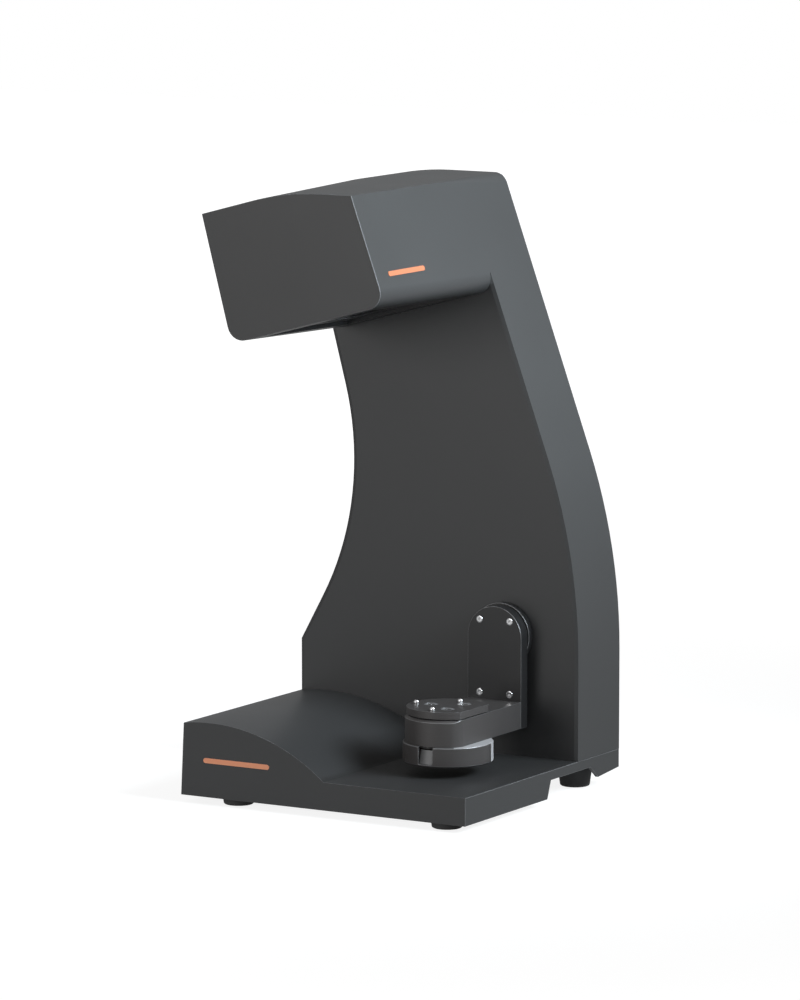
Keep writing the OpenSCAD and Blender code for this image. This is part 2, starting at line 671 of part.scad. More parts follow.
// Both pulleys' circles and the tangents between them, grown by g
module belt_shape(g) {
  ra = big_r + g;
  rb = small_r + g;
  d = motor_z - swing_z;
  a = acos((ra - rb) / d);
  side = [sin(a), cos(a)];
  low = (ra - belt_sink) * side;
  high = [0, d] + (rb - belt_sink) * side;
  translate([axis_x, swing_z]) circle(r = ra);
  translate([axis_x, motor_z]) circle(r = rb);
  translate([axis_x, swing_z]) polygon([[-low[0], low[1]], low, high, [-high[0], high[1]]]);
}
module drive_belt() color([0.1, 0.1, 0.1]) along_y(belt_y + 1, belt_y + 1 + belt_w) difference() {
  belt_shape(belt_gap + belt_t);
  belt_shape(belt_gap);
}
module pulley(z, r, bore) {
  tube_y(axis_x, z, r, bore, belt_y, belt_y + belt_w + 2);
}
module motor_pulley() color([0.7, 0.71, 0.73]) {
  pulley(motor_z, small_r, 2.5);
  rod_y(axis_x, motor_z, 2.5, block_y + 9, belt_y + belt_w + 2);
}
// An optical fork on the frame, and the boards with what stands on them
tab_r = big_r + 9.5; // tip of the pulley's index tab
tab_y = belt_y + belt_w + 1.3;
sensor_x = axis_x - ear_r - 1;
module home_sensor() color([0.12, 0.12, 0.13]) difference() {
  block([axis_x - tab_r - 6, block_y, swing_z - 6], [sensor_x, tab_y + 5.5, swing_z + 6]);
  block([axis_x - tab_r - 1.5, tab_y - 0.7, swing_z - 7], [sensor_x + eps, tab_y + 2.5, swing_z + 7]);
}
stand_h = 8;
board_y = block_y + stand_h;
board_posts = [for (x = [board_x0 + 5, board_x0 + board_w - 5], z = [board_z0 + 5, board_z0 + board_h - 5]) [x, z]];
power_posts = [for (x = [power_x0 + 5, power_x0 + 65], z = [power_z0 + 5, power_z0 + 45]) [x, z]];
module board_standoffs() color([0.8, 0.7, 0.4])
  for (p = concat(board_posts, power_posts)) rod_y(p[0], p[1], 3, block_y, board_y, $fn = 6);
module control_board() color([0.1, 0.32, 0.2]) {
  block([board_x0, board_y, board_z0], [board_x0 + board_w, board_y + 1.6, board_z0 + board_h]);
  for (i = [0:2]) block(
    [board_x0 + 20 + i * 28, board_y + 1.6, board_z0 + 24], [board_x0 + 38 + i * 28, board_y + 4, board_z0 + 42]
  );
  for (i = [0:4]) block(
    [board_x0 + 14 + i * 20, board_y + 1.6, board_z0 + 4], [board_x0 + 28 + i * 20, board_y + 9, board_z0 + 11]
  );
  for (i = [0:3]) rod_y(board_x0 + 28 + i * 22, board_z0 + 56, 5, board_y + 1.6, board_y + 13);
}
module power_board() color([0.12, 0.3, 0.22]) {
  block([power_x0, board_y, power_z0], [power_x0 + 70, board_y + 1.6, power_z0 + 50]);
  block([power_x0 + 8, board_y + 1.6, power_z0 + 12], [power_x0 + 34, board_y + 22, power_z0 + 38]);
  for (i = [0:1]) rod_y(power_x0 + 52, power_z0 + 14 + i * 20, 8, board_y + 1.6, board_y + 24);
}
inlet_depth = 16;
module power_inlet() color([0.08, 0.08, 0.08]) {
  difference() {
    union() {
      along_y(panel_y - 24, panel_y) translate([inlet_x, panel_z]) square([inlet_w - 0.4, inlet_h - 0.4], center = true);
      along_y(panel_y, panel_y + 1.8) translate([inlet_x, panel_z]) square([inlet_w + 4, inlet_h + 4], center = true);
    }
    along_y(panel_y - inlet_depth, panel_y + 3) translate([inlet_x, panel_z]) square([inlet_w - 4, inlet_h - 4], center = true);
  }
  for (u = [-7, 0, 7]) along_y(panel_y - inlet_depth - eps, panel_y - 4)
    translate([inlet_x + u, panel_z + (u == 0 ? 3 : -1.5)]) square([2, 4], center = true);
}
module usb_port() color([0.7, 0.71, 0.73]) difference() {
  union() {
    along_y(panel_y - 18, panel_y + 0.6) translate([usb_x, panel_z]) square([usb_w - 0.4, usb_h - 0.4], center = true);
    along_y(panel_y - wall - 1.2, panel_y - wall) translate([usb_x, panel_z]) square([usb_w + 10, usb_h + 3], center = true);
  }
  along_y(panel_y - 10, panel_y + 2) difference() {
    translate([usb_x, panel_z]) square([usb_w - 2, usb_h - 2], center = true);
    translate([usb_x, panel_z]) square([5.6, 3.2], center = true);
  }
}
rocker_play = 0.5;
rocker_y = panel_y - 2.2;
rocker_a = 9;
module switch_body() color([0.07, 0.07, 0.07]) difference() {
  union() {
    along_y(panel_y - 22, panel_y) translate([rocker_x, panel_z]) square([rocker_w - 0.4, rocker_h - 0.4], center = true);
    along_y(panel_y, panel_y + 1.6) translate([rocker_x, panel_z]) square([rocker_w + 3, rocker_h + 3], center = true);
  }
  along_y(panel_y - 12, panel_y + 3) translate([rocker_x, panel_z]) square([rocker_w - 3, rocker_h - 3], center = true);
}
// The rocker's two faces meet in a shallow valley; it rests with its upper face pressed in
module power_rocker() color([0.14, 0.14, 0.15]) {
  half = (rocker_h - 3) / 2 - rocker_play;
  thick = 4;
  w = rocker_w - 3 - 2 * rocker_play;
  translate([rocker_x - w / 2, rocker_y, panel_z]) rotate([90, 0, 90]) linear_extrude(w) rotate(rocker_a / 2)
    polygon([[-thick, -half + 0.8], [1.6, -half + 0.6], [0.6, 0], [1.6, half - 0.6], [-thick, half - 0.8], [-thick - 1, 0]]);
}
fan_t = 15;
fan_back = panel_y - wall;
fan_bore = fan_w / 2 - 2.5;
fan_gap = 1;
module fan_frame() color([0.09, 0.09, 0.09]) difference() {
  union() {
    difference() {
      block([fan_x - fan_w / 2, fan_back - fan_t, fan_z - fan_w / 2], [fan_x + fan_w / 2, fan_back, fan_z + fan_w / 2]);
      rod_y(fan_x, fan_z, fan_bore, fan_back - fan_t - eps, fan_back + eps);
      for (u = [-1, 1], v = [-1, 1])
        rod_y(fan_x + u * (fan_w / 2 - 5), fan_z + v * (fan_w / 2 - 5), 2.1, fan_back - fan_t - eps, fan_back + eps);
    }
    intersection() {
      rod_y(fan_x, fan_z, fan_bore + eps, fan_back - 2, fan_back);
      union() {
        rod_y(fan_x, fan_z, 12, fan_back - 2, fan_back);
        for (a = [30:90:300]) translate([fan_x, fan_back - 1, fan_z]) rotate([0, a, 0]) cube([4, 2, fan_w * 1.2], center = true);
      }
    }
  }
}
module fan_rotor() color([0.11, 0.11, 0.12]) translate([fan_x, fan_back - fan_t + 1, fan_z]) rotate([-90, 0, 0]) {
  cylinder(r = 12, h = fan_t - 4);
  for (a = [0:360 / 7:359]) rotate(a) translate([11, 0, (fan_t - 4) / 2]) rotate([35, 0, 0])
    translate([0, -5, -0.7]) cube([fan_bore - 11 - fan_gap, 10, 1.4]);
}
cable_r = 2.6;
harness_y = board_y + 22;
harness_v = proj_v + proj_l - 5;
module head_harness() color([0.12, 0.12, 0.13]) wire([
  [board_x0 + 60, board_y + 9, board_z0 + 8], [board_x0 + 60, harness_y, board_z0 + 8],
  [board_x0 + 60, harness_y, board_z0 + board_h + 12], hpy(0, harness_y, harness_v), hpy(0, table_y + proj_r, harness_v)
], cable_r);
function hpy(u, y, v) = [hp(u, v)[0], y, hp(u, v)[1]];
module motor_harness() color([0.12, 0.12, 0.13]) wire([
  [axis_x - 15, block_y + 14, motor_z + motor_w / 2], [axis_x - 15, block_y + 14, motor_z + motor_w / 2 + 9],
  [board_x0 + 101, board_y + 6, motor_z + motor_w / 2 + 9], [board_x0 + 101, board_y + 6, board_z0 + 4]
], 2);

// ---------------------------------------------------------------- swing arm

upright_r = arm_w / 2;
bolt_x = 13.5;
bolt_up = 13;
bolt_down = swing_z - arm_top - 5.3;
bolt_y = upright_back + 3;
swing_bolts = [for (u = [-bolt_x, bolt_x], v = [bolt_up, -bolt_down]) [axis_x + u, swing_z + v]];
bolt_head_r = 2.5;
module swing_shaft() color([0.72, 0.73, 0.75])
  rod_y(axis_x, swing_z, shaft_r, flange_y + 2, belt_y + belt_w + 6);
module swing_flange() color([0.13, 0.13, 0.14]) difference() {
  union() {
    rod_y(axis_x, swing_z, flange_r, flange_y, flange_y + flange_t);
    rod_y(axis_x, swing_z, swing_hole_r - 3, flange_y, wall_y + wall - 1);
  }
  rod_y(axis_x, swing_z, shaft_r, flange_y + 2, wall_y + wall + eps);
  for (p = swing_bolts) if (p[1] > swing_z) rod_y(p[0], p[1], 1.6, flange_y - eps, flange_y + flange_t + eps);
}
module swing_pulley() color([0.7, 0.71, 0.73]) {
  difference() {
    pulley(swing_z, big_r, shaft_r);
    for (a = [0:60:300]) rod_y(axis_x + 17.5 * cos(a), swing_z + 17.5 * sin(a), 5, belt_y - eps, belt_y + belt_w + 3);
  }
  difference() {
    block([axis_x - tab_r, tab_y, swing_z - 2], [axis_x - big_r + 3, belt_y + belt_w + 3, swing_z + 2]);
    rod_y(axis_x, swing_z, big_r - 2, belt_y, belt_y + belt_w + 4);
  }
}
module swing_plate() color([0.14, 0.145, 0.15]) difference() {
  along_y(upright_y, upright_back) union() {
    translate([axis_x, swing_z]) circle(r = upright_r);
    translate([axis_x - upright_r, arm_z]) square([arm_w, swing_z - arm_z]);
  }
  for (p = swing_bolts) {
    rod_y(p[0], p[1], 1.6, upright_y - eps, upright_back + eps);
    rod_y(p[0], p[1], bolt_head_r + 0.2, upright_y - eps, upright_y + 1.2);
  }
}
module swing_plate_screws() color([0.82, 0.82, 0.83]) for (p = swing_bolts) difference() {
  union() {
    rod_y(p[0], p[1], bolt_head_r, upright_y - 0.2, upright_y + 1.2);
    rod_y(p[0], p[1], 1.6, upright_y + 1, p[1] > swing_z ? flange_y + flange_t - 0.4 : upright_back - 0.4);
  }
  translate([p[0], upright_y - 0.2 - eps, p[1]]) rotate([-90, 0, 0]) cylinder(r = 1.35, h = 1 + eps, $fn = 6);
}

// The arm's plan about the turntable's axis: a round end, cut flat on its right
module arm_plan() {
  side = arm_w / 2;
  fc = [side - arm_corner_r, -sqrt(pow(arm_end_r - arm_corner_r, 2) - pow(side - arm_corner_r, 2))];
  ft = fc / norm(fc) * arm_end_r;
  difference() {
    union() {
      circle(r = arm_end_r);
      translate([-side, 0]) square([arm_w, reach]);
    }
    translate([side, -arm_end_r - eps]) square([arm_end_r, 2 * arm_end_r + 2 * eps]);
    difference() {
      polygon([[side, fc[1]], [side + eps, fc[1]], [side + eps, ft[1] * 1.1], ft * 1.1, ft]);
      translate(fc) circle(r = arm_corner_r);
    }
  }
}
arm_chamfer = 2;
seat_r = 11; // bore for the turntable's bearings
module arm_body() color([0.15, 0.155, 0.16]) translate([axis_x, table_y, 0]) difference() {
  translate([0, 0, arm_z]) linear_extrude(arm_h) arm_plan();
  translate([0, 0, arm_z - eps]) cylinder(r = seat_r, h = arm_h + 2 * eps);
  intersection() {
    rotate_extrude() polygon([
      [arm_end_r - arm_chamfer, arm_top], [arm_end_r + eps, arm_top - arm_chamfer - eps], [arm_end_r + eps, arm_top + eps],
      [arm_end_r - arm_chamfer, arm_top + eps]
    ]);
    block([-arm_end_r - 2, -arm_end_r - 2, arm_z], [arm_w / 2, arm_end_r * 0.55, arm_top + 2]);
  }
}
drum_wall = 2.5;
drum_chamfer = 1.2;
module drum_housing() color([0.13, 0.13, 0.135]) translate([axis_x, table_y, 0]) difference() {
  rotate_extrude() polygon([
    [0, drum_z], [drum_r - drum_chamfer, drum_z], [drum_r, drum_z + drum_chamfer], [drum_r, arm_z - 0.5],
    [drum_r - 0.5, arm_z], [seat_r + 1, arm_z], [seat_r + 1, arm_z - 2], [drum_r - drum_wall, arm_z - 2],
    [drum_r - drum_wall, drum_z + 2], [0, drum_z + 2]
  ]);
  block([-drum_notch_w / 2, -drum_r - eps, drum_z + 2], [drum_notch_w / 2, -drum_r + drum_wall + 2, arm_z + eps]);
}
module drum_plug() color([0.3, 0.3, 0.31]) translate([axis_x, table_y, 0]) intersection() {
  block([-drum_notch_w / 2 + 0.2, -drum_r, drum_z + 2], [drum_notch_w / 2 - 0.2, -drum_r + 3.4, arm_z - 2.4]);
  cylinder(r = drum_r - 0.8, h = arm_z);
}
stator_in = 20;
stator_out = 30;
module table_stator() color([0.62, 0.36, 0.2]) translate([axis_x, table_y, 0]) {
  tube_z(stator_out, stator_in, drum_z + 2, arm_z - 3);
}
race_w = 7;
module table_bearings() color([0.75, 0.76, 0.78]) translate([axis_x, table_y, 0])
  for (z = [arm_z + 1, arm_top - race_w - 0.6]) tube_z(seat_r, table_shaft_r + running, z, z + race_w);

// ---------------------------------------------------------------- turntable

magnet_t = 3;
magnet_a = [60, 180, 300];
pin_xy = [[-25.5, -4.5], [1.5, -26], [1, 17.5]];
pin_sink = 4;
pin_root_r = pin_r - 0.3; // the pressed-in end, under a small shoulder
screw_cone_r = 3.2;
module table_plan() intersection() {
  circle(r = table_r);
  translate([-table_r - eps, -table_r - eps]) square([table_r + eps + table_flat, 2 * table_r + 2 * eps]);
}
module at_magnets() for (a = magnet_a) rotate(a) translate([magnet_ring_r, 0, 0]) children();
module table_plate() color([0.17, 0.175, 0.18]) translate([axis_x, table_y, 0]) difference() {
  translate([0, 0, plate_bottom]) linear_extrude(table_t) table_plan();
  translate([0, 0, plate_bottom - eps]) cylinder(r = table_shaft_r, h = 2 + eps);
  at_magnets() {
    translate([0, 0, table_z - magnet_t]) cylinder(r = magnet_r, h = magnet_t + eps);
    translate([0, 0, plate_bottom - eps]) cylinder(r = 1.3, h = table_t + 2 * eps);
  }
  for (p = pin_xy) translate([p[0], p[1], table_z - pin_sink]) cylinder(r = pin_root_r, h = pin_sink + eps);
}
module table_magnets() color([0.3, 0.3, 0.31]) translate([axis_x, table_y, 0]) at_magnets() difference() {
  translate([0, 0, table_z - magnet_t]) cylinder(r = magnet_r - 0.15, h = magnet_t - 0.25);
  translate([0, 0, table_z - magnet_t - eps]) cylinder(r = 1.7, h = magnet_t + eps);
  translate([0, 0, table_z - magnet_t + 1]) cylinder(r1 = 1.7, r2 = screw_cone_r, h = magnet_t - 1.25);
  translate([0, 0, table_z - 0.3]) cylinder(r = screw_cone_r, h = eps);
}
module magnet_screws() color([0.85, 0.85, 0.86]) translate([axis_x, table_y, 0]) at_magnets() difference() {
  union() {
    translate([0, 0, plate_bottom + 0.2]) cylinder(r = 1.3, h = table_t - magnet_t + 1);
    translate([0, 0, table_z - magnet_t + 1.1]) cylinder(r1 = 1.5, r2 = screw_cone_r - 0.15, h = magnet_t - 1.35);
    translate([0, 0, table_z - magnet_t]) cylinder(r = 1.5, h = 1.1);
  }
  translate([0, 0, table_z - 1.4]) cylinder(r = 1.2, h = 1.5, $fn = 6);
}
module locating_pins() color([0.86, 0.86, 0.87]) translate([axis_x, table_y, 0])
  for (p = pin_xy) translate([p[0], p[1], table_z]) {
    translate([0, 0, -pin_sink]) cylinder(r = pin_root_r, h = pin_sink);
    cylinder(r = pin_r, h = pin_h - pin_r);
    translate([0, 0, pin_h - pin_r]) sphere(r = pin_r);
  }
rotor_r = stator_in - 1;
module table_shaft() color([0.72, 0.73, 0.75]) translate([axis_x, table_y, drum_z + 3.5])
  cylinder(r = table_shaft_r, h = plate_bottom + 2 - drum_z - 3.5);
module table_rotor() color([0.35, 0.35, 0.37]) translate([axis_x, table_y, 0])
  tube_z(rotor_r, table_shaft_r, drum_z + 4, arm_z - 4);

// ---------------------------------------------------------------- the nodes

base_housing();
base_bottom_plate();
rubber_feet();
foot_screws();
bottom_plate_screws();
column_housing();
rear_cover();
rear_cover_screws();
head_housing();
head_bottom_cover();
optics_window();
window_frame();
optics_bench();
bench_posts();
projector_body();
projector_lens();
camera_bodies();
camera_lenses();
camera_brackets();
spine_frame();
bearing_housing();
swing_bearings();
swing_motor();
motor_bracket();
drive_belt();
control_board();
board_standoffs();
power_board();
power_inlet();
usb_port();
switch_body();
power_rocker();
fan_frame();
fan_rotor();
head_harness();
motor_harness();
home_sensor();
head_accent();
base_accent();
swing_shaft();
swing_flange();
swing_pulley();
swing_plate();
swing_plate_screws();
arm_body();
drum_housing();
drum_plug();
table_stator();
table_bearings();
table_shaft();
table_rotor();
table_plate();
locating_pins();
table_magnets();
magnet_screws();
motor_pulley();
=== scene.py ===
"""Dresses a desktop 3D scanner: moulded shells, an anodised swing arm, a small turntable and a studio."""
import json
import math

import bmesh
import bpy
from bpy.props import FloatProperty, FloatVectorProperty, IntProperty, PointerProperty
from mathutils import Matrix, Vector


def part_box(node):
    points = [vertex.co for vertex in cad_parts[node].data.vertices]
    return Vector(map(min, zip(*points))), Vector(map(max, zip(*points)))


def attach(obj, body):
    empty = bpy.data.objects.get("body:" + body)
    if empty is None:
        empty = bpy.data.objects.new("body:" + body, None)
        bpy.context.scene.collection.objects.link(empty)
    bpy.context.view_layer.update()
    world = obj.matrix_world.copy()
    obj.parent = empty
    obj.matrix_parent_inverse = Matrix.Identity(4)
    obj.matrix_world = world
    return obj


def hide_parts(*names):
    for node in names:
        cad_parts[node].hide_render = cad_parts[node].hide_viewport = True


bl_info = {
    "name": "Desktop 3D scanner",
    "version": (1, 0, 0),
    "blender": (4, 5, 0),
    "location": "View3D > Sidebar > Scanner",
    "description": "Gives a desktop 3D scanner its shells' edges, its finishes and a studio",
    "category": "Object",
}

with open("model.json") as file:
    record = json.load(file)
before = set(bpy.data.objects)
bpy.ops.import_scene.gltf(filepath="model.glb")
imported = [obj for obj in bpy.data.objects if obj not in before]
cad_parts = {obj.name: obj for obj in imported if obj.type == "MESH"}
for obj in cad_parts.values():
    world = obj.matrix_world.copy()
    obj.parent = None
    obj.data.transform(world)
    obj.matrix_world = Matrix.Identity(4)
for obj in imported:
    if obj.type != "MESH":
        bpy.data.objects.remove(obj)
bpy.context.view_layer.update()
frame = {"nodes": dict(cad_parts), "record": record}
MM = 0.001
SLACK = 0.05 * MM  # two places closer than this count as one

# Where the main pieces lie, read from the frame
BASE_LOW, BASE_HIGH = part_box("base_housing")
COLUMN_LOW, COLUMN_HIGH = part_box("column_housing")
HEAD_FRONT_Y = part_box("head_housing")[0].y
PLATE_Z, WALL_Y, BACK_Y = COLUMN_LOW.z, COLUMN_LOW.y, COLUMN_HIGH.y
ARM_LOW, ARM_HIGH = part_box("arm_body")
RIDGE_X = max(
    v.co.x for v in frame["nodes"]["column_housing"].data.vertices if v.co.z > COLUMN_HIGH.z - SLACK)
LEAN = math.radians(20)  # lean of the column's and the head's right side, from upright
ROLL = math.radians(15)  # roll of the head

# Widths of the fine edges on the smaller pieces, by CAD node
FINE_EDGE = {
    "head_bottom_cover": 0.4 * MM, "head_accent": 0.12 * MM, "base_accent": 0.12 * MM, "rubber_feet": 0.5 * MM,
    "drum_plug": 0.3 * MM, "table_plate": 0.5 * MM, "table_magnets": 0.2 * MM, "locating_pins": 0.15 * MM,
    "magnet_screws": 0.08 * MM, "power_inlet": 0.35 * MM, "switch_body": 0.35 * MM, "power_rocker": 0.35 * MM,
    "usb_port": 0.35 * MM, "fan_frame": 0.35 * MM, "fan_rotor": 0.2 * MM,
}


# ---------------------------------------------------------------- settings

class ScannerSizes(bpy.types.PropertyGroup):
    """Sizes of the rounded edges, and of the studio's camera and lights"""
    shell_edge: FloatProperty(
        name="Shell edge", description="Width of the fine bevel on the head's front edge",
        default=0.5 * MM, min=0.2 * MM, max=2.4 * MM, unit="LENGTH", precision=5)
    base_edge: FloatProperty(
        name="Base edge", description="Width of the bevel on the base's edges",
        default=1.7 * MM, min=0.2 * MM, max=2.6 * MM, unit="LENGTH", precision=5)
    base_front: FloatProperty(
        name="Base front edge", description="Width of the bevel where the base's front meets its top",
        default=0.5 * MM, min=0.2 * MM, max=1.7 * MM, unit="LENGTH", precision=5)
    wall_edge: FloatProperty(
        name="Wall edge", description="Width of the shallow bevel round the column's front wall",
        default=3.0 * MM, min=0.5 * MM, max=4 * MM, unit="LENGTH", precision=5)
    ridge_front: FloatProperty(
        name="Ridge radius, front", description="Radius of the head's upper right edge at its front",
        default=0.8 * MM, min=0.2 * MM, max=8 * MM, unit="LENGTH", precision=5)
    ridge_back: FloatProperty(
        name="Ridge radius, back", description="Radius of the column's upper right edge at the back",
        default=12 * MM, min=1 * MM, max=13 * MM, unit="LENGTH", precision=5)
    metal_edge: FloatProperty(
        name="Metal edge", description="Width of the chamfers on the swing arm's metal pieces",
        default=0.7 * MM, min=0.1 * MM, max=1.2 * MM, unit="LENGTH", precision=5)
    arm_end: FloatProperty(
        name="Arm end radius", description="Radius of the arm's round end about the turntable's axis",
        default=33.3 * MM, min=32 * MM, max=34 * MM, unit="LENGTH", precision=5)
    arm_corner: FloatProperty(
        name="Arm corner radius", description="Radius where the arm's round end meets its flat side",
        default=12 * MM, min=6 * MM, max=14 * MM, unit="LENGTH", precision=5)
    screw_radius: FloatProperty(
        name="Screw head radius", description="Radius of the socket screws on the arm's upright plate",
        default=2.6 * MM, min=1.5 * MM, max=3 * MM, unit="LENGTH", precision=5)
    bevel_steps: IntProperty(
        name="Bevel steps", description="Faces across a rounded edge", default=3, min=1, max=6)
    camera_distance: FloatProperty(
        name="Camera distance", description="Distance from the camera to the scanner's middle",
        default=4.7538, min=1, max=20, unit="LENGTH")
    key_watts: FloatProperty(
        name="Right softbox", description="Power of the light at the upper right",
        default=4.3, min=0, max=50, unit="POWER")
    fill_watts: FloatProperty(
        name="Front fill", description="Power of the wide light at the front left",
        default=12, min=0, max=100, unit="POWER")


def colour(name, description, value):
    return FloatVectorProperty(
        name=name, description=description, subtype="COLOR", size=3, min=0, max=1, default=value)


class ScannerColours(bpy.types.PropertyGroup):
    """Colours of the scanner's finishes, in linear light"""
    shell: colour("Shells", "Moulded casing", (0.032, 0.032, 0.0325))
    black_plastic: colour("Black plastic", "Covers and frames", (0.014, 0.014, 0.015))
    anodised: colour("Dark anodised metal", "Flange and upright plate", (0.017, 0.0165, 0.017))
    grey_anodised: colour("Grey anodised metal", "Arm and turntable", (0.064, 0.059, 0.058))
    orange: colour("Orange bar, base", "Plain bar on the base", (0.95, 0.37, 0.20))
    # The head's bar is the base bar's orange made darker: painted shade against the right softbox's strong light on the
    # head.
    orange_head_shaded: colour("Orange bar, head", "Plain bar on the head", (0.46, 0.150, 0.068))
    rubber: colour("Rubber", "Feet", (0.055, 0.055, 0.055))
    floor: colour("Floor", "Studio floor", (0.30, 0.30, 0.30))


def sizes():
    return bpy.context.scene.scanner_sizes


def colours():
    return bpy.context.scene.scanner_colours


# ---------------------------------------------------------------- shader groups

def new_group(name, inputs, outputs):
    """A shader node group with named sockets; an input is (name, default), a vector's default is None."""
    group = bpy.data.node_groups.new(name, "ShaderNodeTree")
    for label, default in inputs:
        kind = "NodeSocketVector" if default is None else "NodeSocketFloat"
        socket = group.interface.new_socket(label, in_out="INPUT", socket_type=kind)
        if default is not None:
            socket.default_value = default
    for label in outputs:
        group.interface.new_socket(label, in_out="OUTPUT", socket_type="NodeSocketFloat")
    start = group.nodes.new("NodeGroupInput")
    end = group.nodes.new("NodeGroupOutput")
    return group, start, end


def add_node(tree, kind, **values):
    """A node with its properties, and its inputs given as in_Name (spaces as underscores)."""
    node = tree.nodes.new(kind)
    for key, value in values.items():
        if key.startswith("in_"):
            node.inputs[key[3:].replace("_", " ")].default_value = value
        else:
            setattr(node, key, value)
    return node


def maths(tree, operation, a, b):
    """A Math node of two inputs, each a socket or a number."""
    node = tree.nodes.new("ShaderNodeMath")
    node.operation = operation
    for slot, value in zip(node.inputs, (a, b)):
        if isinstance(value, bpy.types.NodeSocket):
            tree.links.new(value, slot)
        else:
            slot.default_value = value
    return node.outputs[0]


def ramp(tree, value, start, end):
    """0 up to start, 1 from end on, and a straight line between the two."""
    share = maths(tree, "MULTIPLY", maths(tree, "SUBTRACT", value, start), 1 / (end - start))
    share.node.use_clamp = True
    return share


def put_out(group, start, end, unevenness, height):
    """Leads a pattern's unevenness to the group's tone and roughness, and its height out."""
    tone = maths(group, "ADD", 1.0, maths(group, "MULTIPLY", unevenness, start.outputs["Tone Spread"]))
    spread = maths(group, "MULTIPLY", unevenness, start.outputs["Roughness Spread"])
    rough = maths(group, "ADD", start.outputs["Roughness"], spread)
    group.links.new(tone, end.inputs["Tone"])
    group.links.new(rough, end.inputs["Roughness"])
    group.links.new(height, end.inputs["Height"])


def moulded_grain():
    """Fine spark-eroded grain with slow unevenness, as on a moulded casing."""
    if "Moulded Grain" in bpy.data.node_groups:
        return bpy.data.node_groups["Moulded Grain"]
    group, start, end = new_group(
        "Moulded Grain",
        [("Position", None), ("Grain Size", 0.5), ("Tone Spread", 0.06), ("Roughness", 0.45),
         ("Roughness Spread", 0.05)],
        ["Tone", "Roughness", "Height"])
    per_metre = maths(group, "DIVIDE", 1000.0, start.outputs["Grain Size"])
    fine = add_node(group, "ShaderNodeTexNoise", in_Detail=3.0, in_Roughness=0.6)
    slow = add_node(group, "ShaderNodeTexNoise", in_Scale=14.0, in_Detail=2.0)
    group.links.new(per_metre, fine.inputs["Scale"])
    for texture in (fine, slow):
        group.links.new(start.outputs["Position"], texture.inputs["Vector"])
    swing = maths(group, "SUBTRACT", slow.outputs["Fac"], 0.5)
    speck = maths(group, "SUBTRACT", fine.outputs["Fac"], 0.5)
    both = maths(group, "ADD", swing, maths(group, "MULTIPLY", speck, 0.8))
    put_out(group, start, end, both, fine.outputs["Fac"])
    return group


def drawn_metal():
    """Fine lines along one direction with slow unevenness, as on drawn, turned or anodised metal."""
    if "Drawn Metal" in bpy.data.node_groups:
        return bpy.data.node_groups["Drawn Metal"]
    group, start, end = new_group(
        "Drawn Metal",
        [("Position", None), ("Line Scale", 900.0), ("Tone Spread", 0.1), ("Roughness", 0.32),
         ("Roughness Spread", 0.1)],
        ["Tone", "Roughness", "Height"])
    lines = add_node(group, "ShaderNodeTexNoise", in_Detail=2.0)
    slow = add_node(group, "ShaderNodeTexNoise", in_Scale=40.0, in_Detail=2.0)
    stretch = add_node(group, "ShaderNodeVectorMath", operation="MULTIPLY")
    stretch.inputs[1].default_value = (0.03, 0.03, 1.0)
    group.links.new(start.outputs["Position"], stretch.inputs[0])
    group.links.new(stretch.outputs["Vector"], lines.inputs["Vector"])
    group.links.new(start.outputs["Position"], slow.inputs["Vector"])
    group.links.new(start.outputs["Line Scale"], lines.inputs["Scale"])
    streak = maths(group, "SUBTRACT", lines.outputs["Fac"], 0.5)
    swing = maths(group, "SUBTRACT", slow.outputs["Fac"], 0.5)
    put_out(group, start, end, maths(group, "ADD", streak, swing), lines.outputs["Fac"])
    return group


def edge_wear():
    """A mask of the outward edges, broken up by noise."""
    if "Edge Wear" in bpy.data.node_groups:
        return bpy.data.node_groups["Edge Wear"]
    group, start, end = new_group(
        "Edge Wear", [("Position", None), ("Start", 0.52), ("Strength", 0.5)], ["Mask"])
    geometry = group.nodes.new("ShaderNodeNewGeometry")
    noise = add_node(group, "ShaderNodeTexNoise", in_Scale=160.0, in_Detail=3.0)
    group.links.new(start.outputs["Position"], noise.inputs["Vector"])
    outward = maths(group, "SUBTRACT", geometry.outputs["Pointiness"], start.outputs["Start"])
    sharp = maths(group, "MULTIPLY", outward, 14.0)
    sharp.node.use_clamp = True
    broken = maths(group, "MULTIPLY", sharp, maths(group, "ADD", noise.outputs["Fac"], 0.3))
    mask = maths(group, "MULTIPLY", broken, start.outputs["Strength"])
    mask.node.use_clamp = True
    group.links.new(mask, end.inputs["Mask"])
    return group


# ---------------------------------------------------------------- materials

WEAR_LIFT = 2.2  # how much paler a worn edge is than its surface
BUMP_DEPTH = 0.2 * MM


def blend(tree, mask, below, above):
    """Mixes a colour over a colour socket by a mask."""
    mix = tree.nodes.new("ShaderNodeMix")
    mix.data_type = "RGBA"
    slots = {s.name: s for s in mix.inputs if s.type == "RGBA"}
    slots["B"].default_value = (*above, 1.0)
    tree.links.new(mask, mix.inputs[0])
    tree.links.new(below, slots["A"])
    return [s for s in mix.outputs if s.type == "RGBA"][0]


